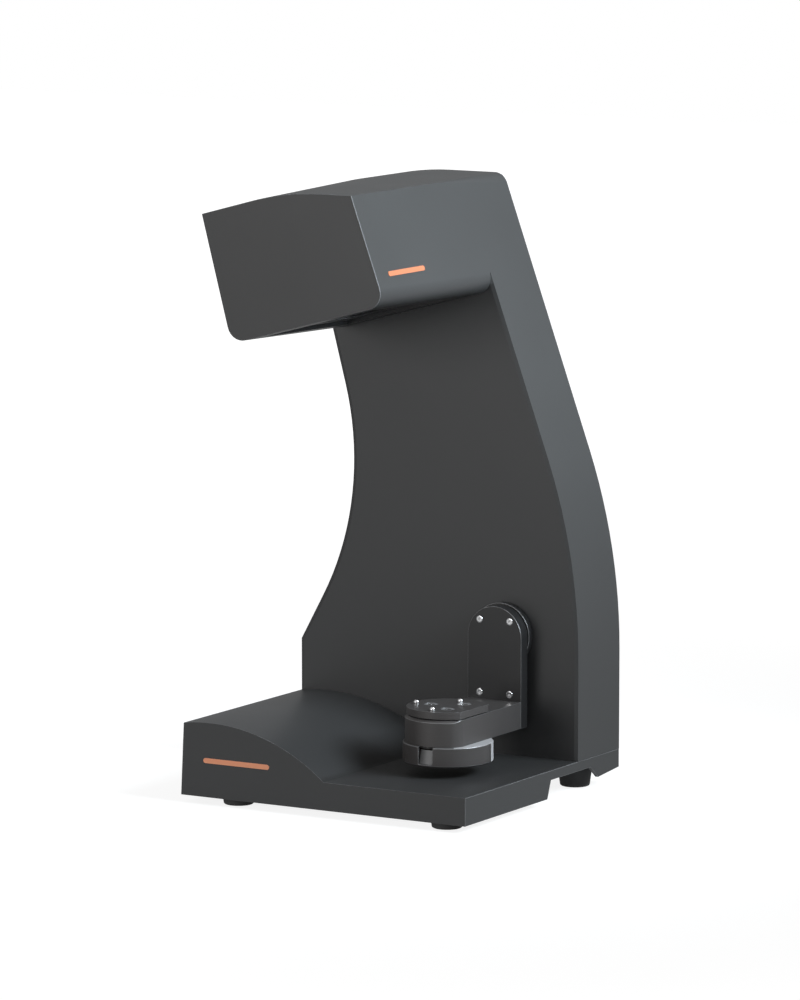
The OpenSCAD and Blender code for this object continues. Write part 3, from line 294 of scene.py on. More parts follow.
def surface(name, base, grain, grain_values, bump=0.0, wear=0.0, painted_edge_highlight=None, edge_metal=None, **shader):
    """A Principled material whose colour, roughness and bump come from a grain group. wear is the strength of its worn
    edges. The colour for the faces that a bevel made is a painted highlight on those edges, and edge_metal is their
    Metallic value."""
    if name in bpy.data.materials:
        return bpy.data.materials[name]
    material = bpy.data.materials.new(name)
    material.use_nodes = True
    tree = material.node_tree
    principled = tree.nodes["Principled BSDF"]
    for key, value in shader.items():
        principled.inputs[key.replace("_", " ")].default_value = value
    place = tree.nodes.new("ShaderNodeTexCoord")
    node = add_node(tree, "ShaderNodeGroup", node_tree=grain())
    tree.links.new(place.outputs["Object"], node.inputs["Position"])
    for label, value in grain_values.items():
        node.inputs[label].default_value = value
    tint = tree.nodes.new("ShaderNodeVectorMath")
    tint.operation = "SCALE"
    tint.inputs[0].default_value = base
    tree.links.new(node.outputs["Tone"], tint.inputs["Scale"])
    result = tint.outputs["Vector"]
    if wear:
        worn = add_node(tree, "ShaderNodeGroup", node_tree=edge_wear())
        worn.inputs["Strength"].default_value = wear
        tree.links.new(place.outputs["Object"], worn.inputs["Position"])
        result = blend(tree, worn.outputs["Mask"], result, [min(1.0, channel * WEAR_LIFT) for channel in base])
    # Painted highlight: the bevel's faces take a paler colour and more metal, as if they caught the light.
    if painted_edge_highlight:
        band = add_node(tree, "ShaderNodeAttribute", attribute_name="painted_edge_highlight")
        result = blend(tree, band.outputs["Fac"], result, painted_edge_highlight)
        if edge_metal:
            metal = principled.inputs["Metallic"].default_value
            shine = maths(tree, "ADD", maths(tree, "MULTIPLY", band.outputs["Fac"], edge_metal - metal), metal)
            tree.links.new(shine, principled.inputs["Metallic"])
    tree.links.new(result, principled.inputs["Base Color"])
    tree.links.new(node.outputs["Roughness"], principled.inputs["Roughness"])
    if bump:
        relief = add_node(tree, "ShaderNodeBump", in_Strength=bump, in_Distance=BUMP_DEPTH)
        tree.links.new(node.outputs["Height"], relief.inputs["Height"])
        tree.links.new(relief.outputs["Normal"], principled.inputs["Normal"])
    return material


def shell_plastic():
    # Its bevels take a paler grey: a painted highlight along the shell's edges.
    return surface(
        "satin shell plastic", colours().shell, moulded_grain,
        {"Grain Size": 0.45, "Tone Spread": 0.09, "Roughness": 0.42, "Roughness Spread": 0.08},
        bump=0.12, painted_edge_highlight=(0.11, 0.11, 0.113))


def black_plastic():
    return surface(
        "black moulded plastic", colours().black_plastic, moulded_grain,
        {"Grain Size": 0.35, "Tone Spread": 0.15, "Roughness": 0.5, "Roughness Spread": 0.12}, bump=0.2, wear=0.3)


def rubber():
    return surface(
        "foot rubber", colours().rubber, moulded_grain,
        {"Grain Size": 0.8, "Tone Spread": 0.3, "Roughness": 0.72, "Roughness Spread": 0.15}, bump=0.35)


def anodised():
    return surface(
        # Its chamfers take a pale, metallic grey: a painted highlight along its edges.
        "dark anodised aluminium", colours().anodised, drawn_metal,
        {"Line Scale": 1100.0, "Tone Spread": 0.18, "Roughness": 0.36, "Roughness Spread": 0.1},
        bump=0.05, painted_edge_highlight=(0.30, 0.30, 0.31), edge_metal=0.8, Metallic=0.15)


def grey_anodised():
    # Its chamfers take a paler, metallic grey: a painted highlight along its edges.
    return surface(
        "grey anodised aluminium", colours().grey_anodised, drawn_metal,
        {"Line Scale": 1100.0, "Tone Spread": 0.14, "Roughness": 0.38, "Roughness Spread": 0.1},
        bump=0.05, painted_edge_highlight=(0.20, 0.20, 0.205), edge_metal=0.7, Metallic=0.25)


def machined_aluminium():
    return surface(
        "machined aluminium", (0.56, 0.57, 0.58), drawn_metal,
        {"Line Scale": 700.0, "Tone Spread": 0.12, "Roughness": 0.34, "Roughness Spread": 0.12},
        bump=0.06, Metallic=1.0)


# Pale metal for the band on the motor drum, which paints the highlight on the drum's rim.
def highlight_aluminium():
    return surface(
        "pale aluminium for a painted highlight", (0.52, 0.51, 0.52), moulded_grain,
        {"Grain Size": 0.3, "Tone Spread": 0.06, "Roughness": 0.5, "Roughness Spread": 0.1},
        bump=0.06, Metallic=0.3)


def ground_steel():
    return surface(
        "ground steel", (0.60, 0.60, 0.61), drawn_metal,
        {"Line Scale": 1500.0, "Tone Spread": 0.1, "Roughness": 0.24, "Roughness Spread": 0.1}, bump=0.04, Metallic=1.0)


def bright_steel():
    return surface(
        "polished steel", (0.80, 0.80, 0.81), drawn_metal,
        {"Line Scale": 1500.0, "Tone Spread": 0.05, "Roughness": 0.14, "Roughness Spread": 0.05}, Metallic=1.0)


def black_screw():
    return surface(
        "black oxide steel", (0.030, 0.030, 0.032), drawn_metal,
        {"Line Scale": 1200.0, "Tone Spread": 0.2, "Roughness": 0.38, "Roughness Spread": 0.1}, wear=0.5, Metallic=0.7)


def dull_nickel():
    return surface(
        "dull nickel", (0.055, 0.055, 0.056), drawn_metal,
        {"Line Scale": 900.0, "Tone Spread": 0.15, "Roughness": 0.33, "Roughness Spread": 0.1}, bump=0.04, Metallic=0.3)


def bright_nickel():
    return surface(
        "bright nickel", (0.48, 0.48, 0.49), drawn_metal,
        {"Line Scale": 900.0, "Tone Spread": 0.1, "Roughness": 0.28, "Roughness Spread": 0.1}, bump=0.04, Metallic=0.6)


def zinc_sheet():
    return surface(
        "zinc plated sheet", (0.42, 0.43, 0.45), moulded_grain,
        {"Grain Size": 6.0, "Tone Spread": 0.25, "Roughness": 0.38, "Roughness Spread": 0.2}, bump=0.05, Metallic=0.9)


def solder_mask():
    return surface(
        "green solder mask", (0.010, 0.085, 0.035), moulded_grain,
        {"Grain Size": 1.4, "Tone Spread": 0.5, "Roughness": 0.28, "Roughness Spread": 0.1}, bump=0.15, Coat_Weight=0.3)


def wound_copper():
    return surface(
        "wound copper", (0.55, 0.22, 0.08), drawn_metal,
        {"Line Scale": 2200.0, "Tone Spread": 0.6, "Roughness": 0.3, "Roughness Spread": 0.1}, bump=0.5, Metallic=0.9)


def lens_black():
    return surface(
        "lens barrel black", (0.010, 0.010, 0.011), drawn_metal,
        {"Line Scale": 1500.0, "Tone Spread": 0.2, "Roughness": 0.42, "Roughness Spread": 0.1}, bump=0.1)


def orange_inlay(name="orange inlay", tone=None):
    return surface(
        name, tone or colours().orange, moulded_grain,
        {"Grain Size": 0.4, "Tone Spread": 0.06, "Roughness": 0.46, "Roughness Spread": 0.06}, bump=0.08)


def shaded_head_inlay():
    # A darker copy of the orange inlay: painted shade on the head's bar.
    return orange_inlay("orange inlay on the head, painted shade", colours().orange_head_shaded)


def cable_sheath():
    return surface(
        "cable sheath", (0.014, 0.014, 0.015), moulded_grain,
        {"Grain Size": 0.9, "Tone Spread": 0.2, "Roughness": 0.55, "Roughness Spread": 0.1}, bump=0.2)


def window_glass():
    material = surface(
        "coated window glass", (0.030, 0.040, 0.046), moulded_grain,
        {"Grain Size": 9.0, "Tone Spread": 0.15, "Roughness": 0.06, "Roughness Spread": 0.03},
        Coat_Weight=0.6, Coat_Roughness=0.04, Alpha=0.55, Specular_IOR_Level=0.7)
    material.surface_render_method = "BLENDED"
    return material


FINISHES = {
    "shell": shell_plastic, "dark_plastic": black_plastic, "black_rubber": rubber, "anodised": anodised,
    "plain_aluminium": machined_aluminium, "steel": ground_steel, "bright_steel": bright_steel,
    "black_screw": black_screw, "magnet": bright_nickel, "sheet_metal": zinc_sheet, "pcb": solder_mask,
    "copper": wound_copper, "lens_black": lens_black, "window_glass": window_glass, "orange": orange_inlay,
    "cable": cable_sheath,
}
NODE_SLOT = {part["node"]: part["material_slot"] for part in frame["record"]["subparts"]}
NODE_BODY = {node: body for body, nodes in frame["record"]["behaviour"]["bodies"].items() for node in nodes}


def paint(piece, slot, finish=None):
    """Gives a piece the finish of a material slot, or a variant of it, and nothing else."""
    piece.data.materials.clear()
    piece.data.materials.append((finish or FINISHES[slot])())


# ---------------------------------------------------------------- shapes

def clean_copy(node):
    """A bmesh of a CAD node with its loose triangles merged into flat faces."""
    shape = bmesh.new()
    shape.from_mesh(frame["nodes"][node].data)
    bmesh.ops.remove_doubles(shape, verts=shape.verts, dist=0.004 * MM)
    bmesh.ops.dissolve_limit(
        shape, angle_limit=math.radians(0.15), verts=shape.verts, edges=shape.edges, use_dissolve_boundaries=False)
    return shape


def is_sharp(edge, angle=24):
    return len(edge.link_faces) == 2 and edge.calc_face_angle_signed(0) > math.radians(angle)


def new_piece(name, shape, node, slot=None, finish=None):
    """Turns a bmesh into a piece at the origin, with the finish of a CAD node's slot or its own."""
    mesh = bpy.data.meshes.new(name)
    shape.to_mesh(mesh)
    shape.free()
    piece = bpy.data.objects.new(name, mesh)
    bpy.context.scene.collection.objects.link(piece)
    paint(piece, slot or NODE_SLOT[node], finish)
    return piece


def settle(piece):
    """Applies a piece's modifiers to its mesh."""
    graph = bpy.context.evaluated_depsgraph_get()
    finished = bpy.data.meshes.new_from_object(piece.evaluated_get(graph), depsgraph=graph)
    old = piece.data
    piece.modifiers.clear()
    piece.data = finished
    bpy.data.meshes.remove(old)


def mark_painted_highlight_faces(piece):
    """Writes which faces the bevel made into an attribute, for their painted edge highlight, and drops their second
    material place.
    """
    mesh = piece.data
    band = mesh.attributes.new("painted_edge_highlight", "FLOAT", "FACE")
    for polygon in mesh.polygons:
        band.data[polygon.index].value = polygon.material_index
        polygon.material_index = 0
    mesh.materials.pop(index=1)


def soften(piece, width, steps):
    """Rounds the weighted edges up to a width, marks the faces that this makes for the painted edge highlight and
    shades the rest flat.
    """
    mesh = piece.data
    for polygon in mesh.polygons:
        polygon.use_smooth = True
    bevel = piece.modifiers.new("Edges", "BEVEL")
    bevel.width = width
    bevel.segments = steps
    bevel.limit_method = "WEIGHT"
    bevel.use_clamp_overlap = True
    bevel.harden_normals = False
    mesh.materials.append(mesh.materials[0])
    bevel.material = 1
    normals = piece.modifiers.new("Flat faces", "WEIGHTED_NORMAL")
    normals.keep_sharp = True
    normals.weight = 50
    settle(piece)
    mark_painted_highlight_faces(piece)


def dress(node, name, width=None, edge_width=None, steps=None, shape=None, crisp=32, finish=None):
    """A bevelled piece in place of a CAD node. edge_width(edge) gives an edge's own width, in metres, and faces
    that meet at less than the crisp angle, in degrees, are shaded as one."""
    width = width or FINE_EDGE[node]
    shape = shape or clean_copy(node)
    weight = shape.edges.layers.float.new("bevel_weight_edge")
    for edge in shape.edges:
        wanted = 0.0
        if is_sharp(edge):
            wanted = edge_width(edge) if edge_width else width
        edge[weight] = min(1.0, wanted / width)
        edge.smooth = edge.calc_face_angle(0) < math.radians(crisp) or wanted > 0
    piece = new_piece(name, shape, node, finish=finish)
    soften(piece, width, steps or sizes().bevel_steps)
    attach(piece, NODE_BODY[node])
    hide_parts(node)


def middle(edge):
    return (edge.verts[0].co + edge.verts[1].co) / 2


def at(value, target, slack=SLACK):
    return abs(value - target) < slack


def both_at(edge, axis, value):
    return all(at(vertex.co[axis], value) for vertex in edge.verts)


# ---------------------------------------------------------------- shells

def cut(shape, point, normal):
    """Cuts every face that crosses a plane, and keeps both sides."""
    bmesh.ops.bisect_plane(
        shape, geom=shape.verts[:] + shape.edges[:] + shape.faces[:], dist=0.001 * MM, plane_co=point, plane_no=normal)


def round_ridge(shape, steps=6, slices=14, lead=40 * MM):
    """Rounds the upper right edge with a radius that grows from a lead in front of the wall to the back."""
    corner = Vector((RIDGE_X, 0, COLUMN_HIGH.z))
    over = Vector((-1, 0, 0))
    down = Vector((math.sin(LEAN), 0, -math.cos(LEAN)))
    half = (math.pi - over.angle(down)) / 2
    inward = (over + down).normalized()
    outward = -inward
    front, back = sizes().ridge_front, sizes().ridge_back
    widest = back * math.tan(half)
    for i in range(steps):
        reach = widest * (i + 1) / steps
        cut(shape, corner + over * reach, over)
        cut(shape, corner + down * reach, down)
    start = WALL_Y - lead
    for i in range(slices):
        cut(shape, (0, start + (BACK_Y - start) * i / slices, 0), (0, 1, 0))
    for vertex in shape.verts:
        place = Vector((vertex.co.x, 0, vertex.co.z)) - corner
        for flank in (over, down):
            along = place.dot(flank)
            if -0.01 * MM <= along <= widest + 0.01 * MM and (place - flank * along).length < 0.02 * MM:
                share = min(1.0, max(0.0, (vertex.co.y - start) / (BACK_Y - start)))
                radius = front + (back - front) * share
                side = 1 if flank is down else -1
                turn = side * half * max(0.0, along) / widest
                centre = corner + inward * radius / math.cos(half)
                arm = Vector((
                    outward.x * math.cos(turn) + outward.z * math.sin(turn), 0,
                    outward.z * math.cos(turn) - outward.x * math.sin(turn)))
                spot = centre + arm * radius
                vertex.co.x, vertex.co.z = spot.x, spot.z
                break


def linked(edges):
    """The sets of vertices that a list of edges joins."""
    waiting = set(edges)
    sets = []
    while waiting:
        stack = [waiting.pop()]
        found = set()
        while stack:
            edge = stack.pop()
            for vertex in edge.verts:
                found.add(vertex)
                beside = [e for e in vertex.link_edges if e in waiting]
                waiting.difference_update(beside)
                stack.extend(beside)
        sets.append(found)
    return sets


def head_corner(outward):
    """Where the head's rounded lower corner runs into the side that faces outward, at the wall."""
    outline = [v.co for v in frame["nodes"]["head_housing"].data.vertices if at(v.co.y, WALL_Y, 0.2 * MM)]
    reach = max(co.dot(outward) for co in outline)
    return min((co for co in outline if co.dot(outward) > reach - SLACK), key=lambda co: co.z)


def bevel_wall(shape, width, depth_share=0.3, taper=8 * MM):
    """A wide, shallow bevel round the column's front wall, from the base up to the head's lower corners."""
    left = head_corner(Vector((-math.cos(ROLL), 0, -math.sin(ROLL)))).z
    right = head_corner(Vector((math.cos(LEAN), 0, math.sin(LEAN)))).z
    for z in (left, right, left - taper, right - taper):
        cut(shape, (0, 0, z), (0, 0, 1))
    cut(shape, (0, WALL_Y + width * depth_share, 0), (0, 1, 0))
    shape.normal_update()
    loops = linked([e for e in shape.edges if both_at(e, 1, WALL_Y) and is_sharp(e, 60)])
    rim = max(loops, key=lambda verts: max(v.co.z for v in verts) - min(v.co.z for v in verts))
    moves = {}
    for vertex in rim:
        sides = [f.normal for f in vertex.link_faces if abs(f.normal.y) < 0.1 and abs(f.normal.z) < 0.9]
        share = min(1.0, ((right if vertex.co.x > 0 else left) - vertex.co.z) / taper)
        if sides and share > 0:
            moves[vertex] = sum(sides, Vector()).normalized() * -width * share
    for vertex, move in moves.items():
        vertex.co += move


def base_edge(edge):
    """An edge's bevel on the base: none under the column and in the hump's crease, fine along the front's top."""
    centre = middle(edge)
    under_column = centre.y > WALL_Y - SLACK and centre.z > PLATE_Z - SLACK
    inside = BASE_LOW.x + 2 * MM < centre.x < BASE_HIGH.x - 2 * MM and centre.y > BASE_LOW.y + 1 * MM
    crease = both_at(edge, 2, PLATE_Z) and inside
    if under_column or crease or both_at(edge, 1, WALL_Y):
        return 0.0
    start, end = (vertex.co for vertex in edge.verts)
    upright = abs(start.z - end.z) > 10 * MM and abs(start.x - end.x) < 5 * MM
    return sizes().base_front if both_at(edge, 1, BASE_LOW.y) and not upright else sizes().base_edge


class SCANNER_OT_shells(bpy.types.Operator):
    """Builds the base, column and head shells and the head's floor plate with their fine edges"""
    bl_idname = "scanner.shells"
    bl_label = "Shells"
    bl_options = {"REGISTER", "UNDO"}

    def execute(self, context):
        fine = sizes().shell_edge

        def column_edge(edge):
            return fine * 0.5 if both_at(edge, 1, BACK_Y) else 0.0

        def head_edge(edge):
            return fine if both_at(edge, 1, HEAD_FRONT_Y) else 0.0

        column = clean_copy("column_housing")
        bevel_wall(column, sizes().wall_edge)
        round_ridge(column)
        head = clean_copy("head_housing")
        round_ridge(head)
        dress("base_housing", "base_shell", sizes().base_edge, base_edge, crisp=12)
        dress("column_housing", "column_shell", fine * 0.5, column_edge, steps=2, shape=column, crisp=12)
        dress("head_housing", "head_shell", fine, head_edge, shape=head, crisp=12)
        dress("head_bottom_cover", "head_floor_plate")
        return {"FINISHED"}


class SCANNER_OT_marks(bpy.types.Operator):
    """Builds the plain orange bars on the head and the base"""
    bl_idname = "scanner.marks"
    bl_label = "Orange marks"
    bl_options = {"REGISTER", "UNDO"}

    def execute(self, context):
        dress("head_accent", "head_bar", finish=shaded_head_inlay)
        dress("base_accent", "base_bar")
        return {"FINISHED"}


class SCANNER_OT_feet(bpy.types.Operator):
    """Builds the rubber feet"""
    bl_idname = "scanner.feet"
    bl_label = "Feet"
    bl_options = {"REGISTER", "UNDO"}

    def execute(self, context):
        dress("rubber_feet", "rubber_foot_set")
        return {"FINISHED"}


# ---------------------------------------------------------------- swing arm and turntable

class SCANNER_OT_arm(bpy.types.Operator):
    """Builds the swing arm's anodised pieces with their chamfers, and the plug in the motor drum's notch"""
    bl_idname = "scanner.arm"
    bl_label = "Swing arm"
    bl_options = {"REGISTER", "UNDO"}

    def execute(self, context):
        edge = sizes().metal_edge
        dress("swing_plate", "upright_plate", edge, steps=2)
        dress("arm_body", "arm_block", edge, steps=2, finish=grey_anodised)
        dress("swing_flange", "flange_disc", edge * 0.4, steps=2)
        dress("drum_housing", "motor_drum", edge * 0.6, steps=2, finish=grey_anodised)
        plug = clean_copy("drum_plug")
        top = max(v.co.z for v in plug.verts)
        slope = 2.2 * MM  # how far the plug's front leans back at its top
        for vertex in plug.verts:
            if at(vertex.co.z, top) and vertex.co.y < ARM_LOW.y + 3 * MM:
                vertex.co.y += slope
        dress("drum_plug", "drum_notch_plug", shape=plug, finish=dull_nickel)
        return {"FINISHED"}


def ribbon(shape, centre, turns, section):
    """A closed band about an upright axis. section(turn) gives its corners (radius, z) at an angle."""
    rings = []
    for turn in turns:
        way = Vector((math.cos(turn), math.sin(turn)))
        rings.append([
            shape.verts.new((centre.x + way.x * r, centre.y + way.y * r, z)) for r, z in section(turn)])
    for near, far in zip(rings, rings[1:]):
        for k in range(len(near)):
            shape.faces.new((near[k - 1], near[k], far[k], far[k - 1]))
    shape.faces.new(rings[0])
    shape.faces.new(rings[-1][::-1])


def arm_outline(turn, side):
    """Distance from the turntable's axis to the arm's outline: its round end, then a corner, then its flat side."""
    corner = sizes().arm_corner
    end = sizes().arm_end
    reach = side - corner
    heart = Vector((reach, -math.sqrt((end - corner) ** 2 - reach ** 2)))
    way = Vector((math.cos(turn), math.sin(turn)))
    if turn >= math.atan2(heart.y, side):
        return side / way.x
    if turn <= math.atan2(heart.y, heart.x):
        return end
    along = way.dot(heart)
    return along + math.sqrt(along ** 2 - heart.length_squared + corner ** 2)


class SCANNER_OT_painted_drum_highlight(bpy.types.Operator):
    """Builds a pale band on the motor drum, where it stands out from under the arm: a painted highlight along the
    drum's rim and right side
    """
    bl_idname = "scanner.drum_lip"
    bl_label = "Painted drum highlight"
    bl_options = {"REGISTER", "UNDO"}

    def execute(self, context):
        drum_low, drum_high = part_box("drum_housing")
        shaft_low, shaft_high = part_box("table_shaft")
        centre = (shaft_low + shaft_high) / 2
        radius = (drum_high.x - drum_low.x) / 2
        side = ARM_HIGH.x - centre.x
        gap = 0.15 * MM  # between the lip's top and the arm, and the drum's rim
        sunk, proud = 0.3 * MM, 0.08 * MM  # how far the lip's top reaches into the drum and above it
        wall_in, wall_out = radius - 0.2 * MM, radius + 0.3 * MM
        wall_foot = drum_low.z + 1.2 * MM

        def top(turn):
            inner, outer = arm_outline(turn, side) + gap, radius - gap
            low, high = drum_high.z - sunk, drum_high.z + proud
            return [(inner, low), (outer, low), (outer, high), (inner, high)]

        def wall(turn):
            return [
                (wall_in, wall_foot), (wall_out, wall_foot),
                (wall_out, drum_high.z - 0.4 * MM), (wall_in, drum_high.z - 0.1 * MM)]

        shape = bmesh.new()
        # Both bands are painted highlight: the flat one where the drum's top rim catches the light, the upright strip
        # where its right side would shine.
        ribbon(shape, centre, [math.radians(turn) for turn in range(-52, 48, 3)], top)
        ribbon(shape, centre, [math.radians(turn) for turn in range(12, 55, 3)], wall)
        bmesh.ops.recalc_face_normals(shape, faces=shape.faces)
        piece = new_piece("drum_lip", shape, "drum_housing", slot="plain_aluminium", finish=highlight_aluminium)
        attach(piece, NODE_BODY["drum_housing"])
        return {"FINISHED"}


class SCANNER_OT_turntable(bpy.types.Operator):
    """Builds the turntable's plate, magnets and pins"""
    bl_idname = "scanner.turntable"
    bl_label = "Turntable"
    bl_options = {"REGISTER", "UNDO"}

    def execute(self, context):
        dress("table_plate", "turntable_plate", steps=2, finish=grey_anodised)
        dress("table_magnets", "ring_magnets")
        dress("locating_pins", "round_nosed_pins")
        dress("magnet_screws", "countersunk_screws", steps=2)
        return {"FINISHED"}


# ---------------------------------------------------------------- screws, with Geometry Nodes

def socket_screw(radius, height, socket, around=48, rim_steps=4):
    """A socket screw's head about Z, with a rounded rim and a hexagonal socket, its seat at Z = 0."""
    shape = bmesh.new()
    rim = 0.14 * radius
    socket_rim = 1.24 * socket
    socket_floor = 0.1 * height
    angles = [2 * math.pi * k / around for k in range(around)]

    def ring(size, z):
        return [shape.verts.new((size(turn) * math.cos(turn), size(turn) * math.sin(turn), z)) for turn in angles]

    def hexagon(turn):
        return socket / math.cos((turn + math.pi / 6) % (math.pi / 3) - math.pi / 6)

    profile = [(radius, 0.0), (radius, height - rim)]
    for i in range(1, rim_steps + 1):
        turn = math.pi / 2 * i / rim_steps
        profile.append((radius - rim + rim * math.cos(turn), height - rim + rim * math.sin(turn)))
    profile.append((socket_rim, height))
    rings = [ring(lambda turn: r, z) for r, z in profile]
    rings += [ring(hexagon, z) for z in (height, socket_floor)]
    for lower, upper in zip(rings, rings[1:]):
        for k in range(around):
            shape.faces.new((lower[k], lower[(k + 1) % around], upper[(k + 1) % around], upper[k]))
    shape.faces.new(rings[-1])
    shape.faces.new(rings[0][::-1])
    bmesh.ops.recalc_face_normals(shape, faces=shape.faces)
    return shape


def screws_tree():
    """Geometry Nodes: one screw on each point, turned to face a direction, real meshes with a finish."""
    tree = bpy.data.node_groups.get("Screws On Points")
    if tree:
        return tree
    tree = bpy.data.node_groups.new("Screws On Points", "GeometryNodeTree")
    face = tree.interface
    face.new_socket("Points", in_out="INPUT", socket_type="NodeSocketGeometry")
    face.new_socket("Screw", in_out="INPUT", socket_type="NodeSocketObject")
    face.new_socket("Facing", in_out="INPUT", socket_type="NodeSocketVector")
    face.new_socket("Size", in_out="INPUT", socket_type="NodeSocketFloat")
    face.new_socket("Turn Spread", in_out="INPUT", socket_type="NodeSocketFloat")
    face.new_socket("Finish", in_out="INPUT", socket_type="NodeSocketMaterial")
    face.new_socket("Geometry", in_out="OUTPUT", socket_type="NodeSocketGeometry")
    start = tree.nodes.new("NodeGroupInput")
    end = tree.nodes.new("NodeGroupOutput")
    info = tree.nodes.new("GeometryNodeObjectInfo")
    align = tree.nodes.new("FunctionNodeAlignRotationToVector")
    align.axis = "Z"
    spin = tree.nodes.new("FunctionNodeRandomValue")
    spin.data_type = "FLOAT"
    spin.inputs["Seed"].default_value = 7
    turn = tree.nodes.new("FunctionNodeAxisAngleToRotation")
    turn.inputs["Axis"].default_value = (0, 0, 1)
    join = tree.nodes.new("FunctionNodeRotateRotation")
    join.rotation_space = "LOCAL"
    place = tree.nodes.new("GeometryNodeInstanceOnPoints")
    real = tree.nodes.new("GeometryNodeRealizeInstances")
    finish = tree.nodes.new("GeometryNodeSetMaterial")
    spread = [s for s in spin.inputs if s.name == "Max" and s.type == "VALUE" and s.enabled][0]
    angle = [s for s in spin.outputs if s.type == "VALUE" and s.enabled][0]
    links = (
        (start.outputs["Screw"], info.inputs["Object"]),
        (start.outputs["Facing"], align.inputs["Vector"]),
        (start.outputs["Turn Spread"], spread),
        (angle, turn.inputs["Angle"]),
        (align.outputs["Rotation"], join.inputs["Rotation"]),
        (turn.outputs["Rotation"], join.inputs["Rotate By"]),
        (start.outputs["Points"], place.inputs["Points"]),
        (info.outputs["Geometry"], place.inputs["Instance"]),
        (join.outputs["Rotation"], place.inputs["Rotation"]),
        (start.outputs["Size"], place.inputs["Scale"]),
        (place.outputs["Instances"], real.inputs["Geometry"]),
        (real.outputs["Geometry"], finish.inputs["Geometry"]),
        (start.outputs["Finish"], finish.inputs["Material"]),
        (finish.outputs["Geometry"], end.inputs["Geometry"]),
    )
    for source, target in links:
        tree.links.new(source, target)
    return tree


def islands(node):
    """The lowest and highest corners of each separate solid of a CAD node."""
    shape = clean_copy(node)
    seen = set()
    boxes = []
    for vertex in shape.verts:
        if vertex in seen:
            continue
        stack = [vertex]
        seen.add(vertex)
        points = []
        while stack:
            here = stack.pop()
            points.append(here.co.copy())
            for edge in here.link_edges:
                there = edge.other_vert(here)
                if there not in seen:
                    seen.add(there)
                    stack.append(there)
        boxes.append((
            Vector([min(p[i] for p in points) for i in range(3)]),
            Vector([max(p[i] for p in points) for i in range(3)])))
    shape.free()
    return boxes


def screw_group(name, node, facing, radius, height, socket):
    """Screw heads made by the Geometry Nodes tree at a CAD node's screws, in place of that node."""
    direction = Vector(facing)
    points = []
    for low, high in islands(node):
        centre = (low + high) / 2
        tip = high if direction.dot((1, 1, 1)) > 0 else low
        for axis in range(3):
            if facing[axis]:
                centre[axis] = tip[axis] - facing[axis] * height
        points.append(centre)
    mesh = bpy.data.meshes.new(name)
    mesh.from_pydata(points, [], [])
    piece = bpy.data.objects.new(name, mesh)
    bpy.context.scene.collection.objects.link(piece)
    shape = socket_screw(radius, height, socket)
    head_mesh = bpy.data.meshes.new(name + "_head")
    shape.to_mesh(head_mesh)
    shape.free()
    head = bpy.data.objects.new(name + "_head", head_mesh)
    bpy.context.scene.collection.objects.link(head)
    modifier = piece.modifiers.new("Screws", "NODES")
    tree = screws_tree()
    modifier.node_group = tree
    values = {
        "Screw": head, "Facing": facing, "Size": 1.0, "Turn Spread": math.tau,
        "Finish": FINISHES[NODE_SLOT[node]](),
    }
    for item in tree.interface.items_tree:
        if item.in_out == "INPUT" and item.name in values:
            modifier[item.identifier] = values[item.name]
    settle(piece)
    for polygon in piece.data.polygons:
        polygon.use_smooth = False
    bpy.data.objects.remove(head)
    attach(piece, NODE_BODY[node])
    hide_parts(node)


class SCANNER_OT_screws(bpy.types.Operator):
    """Builds the socket screws of the arm, the rear cover and the bottom plate"""
    bl_idname = "scanner.screws"
    bl_label = "Screws"
    bl_options = {"REGISTER", "UNDO"}

    def execute(self, context):
        arm_radius = sizes().screw_radius
        panel_screw = {"radius": 2.8 * MM, "height": 1.8 * MM, "socket": 1.15 * MM}
        screw_group(
            "arm_screws", "swing_plate_screws", (0, -1, 0), arm_radius, height=1.3 * MM, socket=0.36 * arm_radius)
        screw_group("rear_screws", "rear_cover_screws", (0, 1, 0), **panel_screw)
        screw_group("underside_screws", "bottom_plate_screws", (0, 0, -1), **panel_screw)
        return {"FINISHED"}


# ---------------------------------------------------------------- back and inside

class SCANNER_OT_rear_fittings(bpy.types.Operator):
    """Builds the inlet, switch, data port and fan at the rear cover"""
    bl_idname = "scanner.rear_fittings"
    bl_label = "Rear fittings"
    bl_options = {"REGISTER", "UNDO"}

    def execute(self, context):
        for node in ("power_inlet", "switch_body", "power_rocker", "usb_port", "fan_frame"):
            dress(node, node + "_detail")
        dress("fan_rotor", "fan_rotor_detail", steps=2)
        return {"FINISHED"}


class SCANNER_OT_inside(bpy.types.Operator):
    """Gives every other CAD piece its finish"""
    bl_idname = "scanner.inside"
    bl_label = "Inner pieces"
    bl_options = {"REGISTER", "UNDO"}

    def execute(self, context):
        for node, piece in frame["nodes"].items():
            if not piece.hide_render:
                paint(piece, NODE_SLOT[node])
        return {"FINISHED"}


# ---------------------------------------------------------------- studio

# The camera's direction from the scanner, the point it looks at, and its lens in millimetres
AZIMUTH = math.radians(30.707)
ELEVATION = math.radians(8.089)
AIM = Vector((-0.001544, 0.0, 0.231921))
LENS = 219.41
SENSOR = 36

WORLD_LIGHT = 0.35  # the world's strength on the scanner
REFLECTED_SKY = (0.1, 1.0)  # its strength in reflections, low down and high up
REFLECTED_FLOOR = 0.40  # the floor's glow in reflections, as a share of what the camera sees
FLOOR_WHITE = (0.85, 0.2)  # the floor's glow near the scanner, and what is added far away
FLOOR_REACH = 6.0


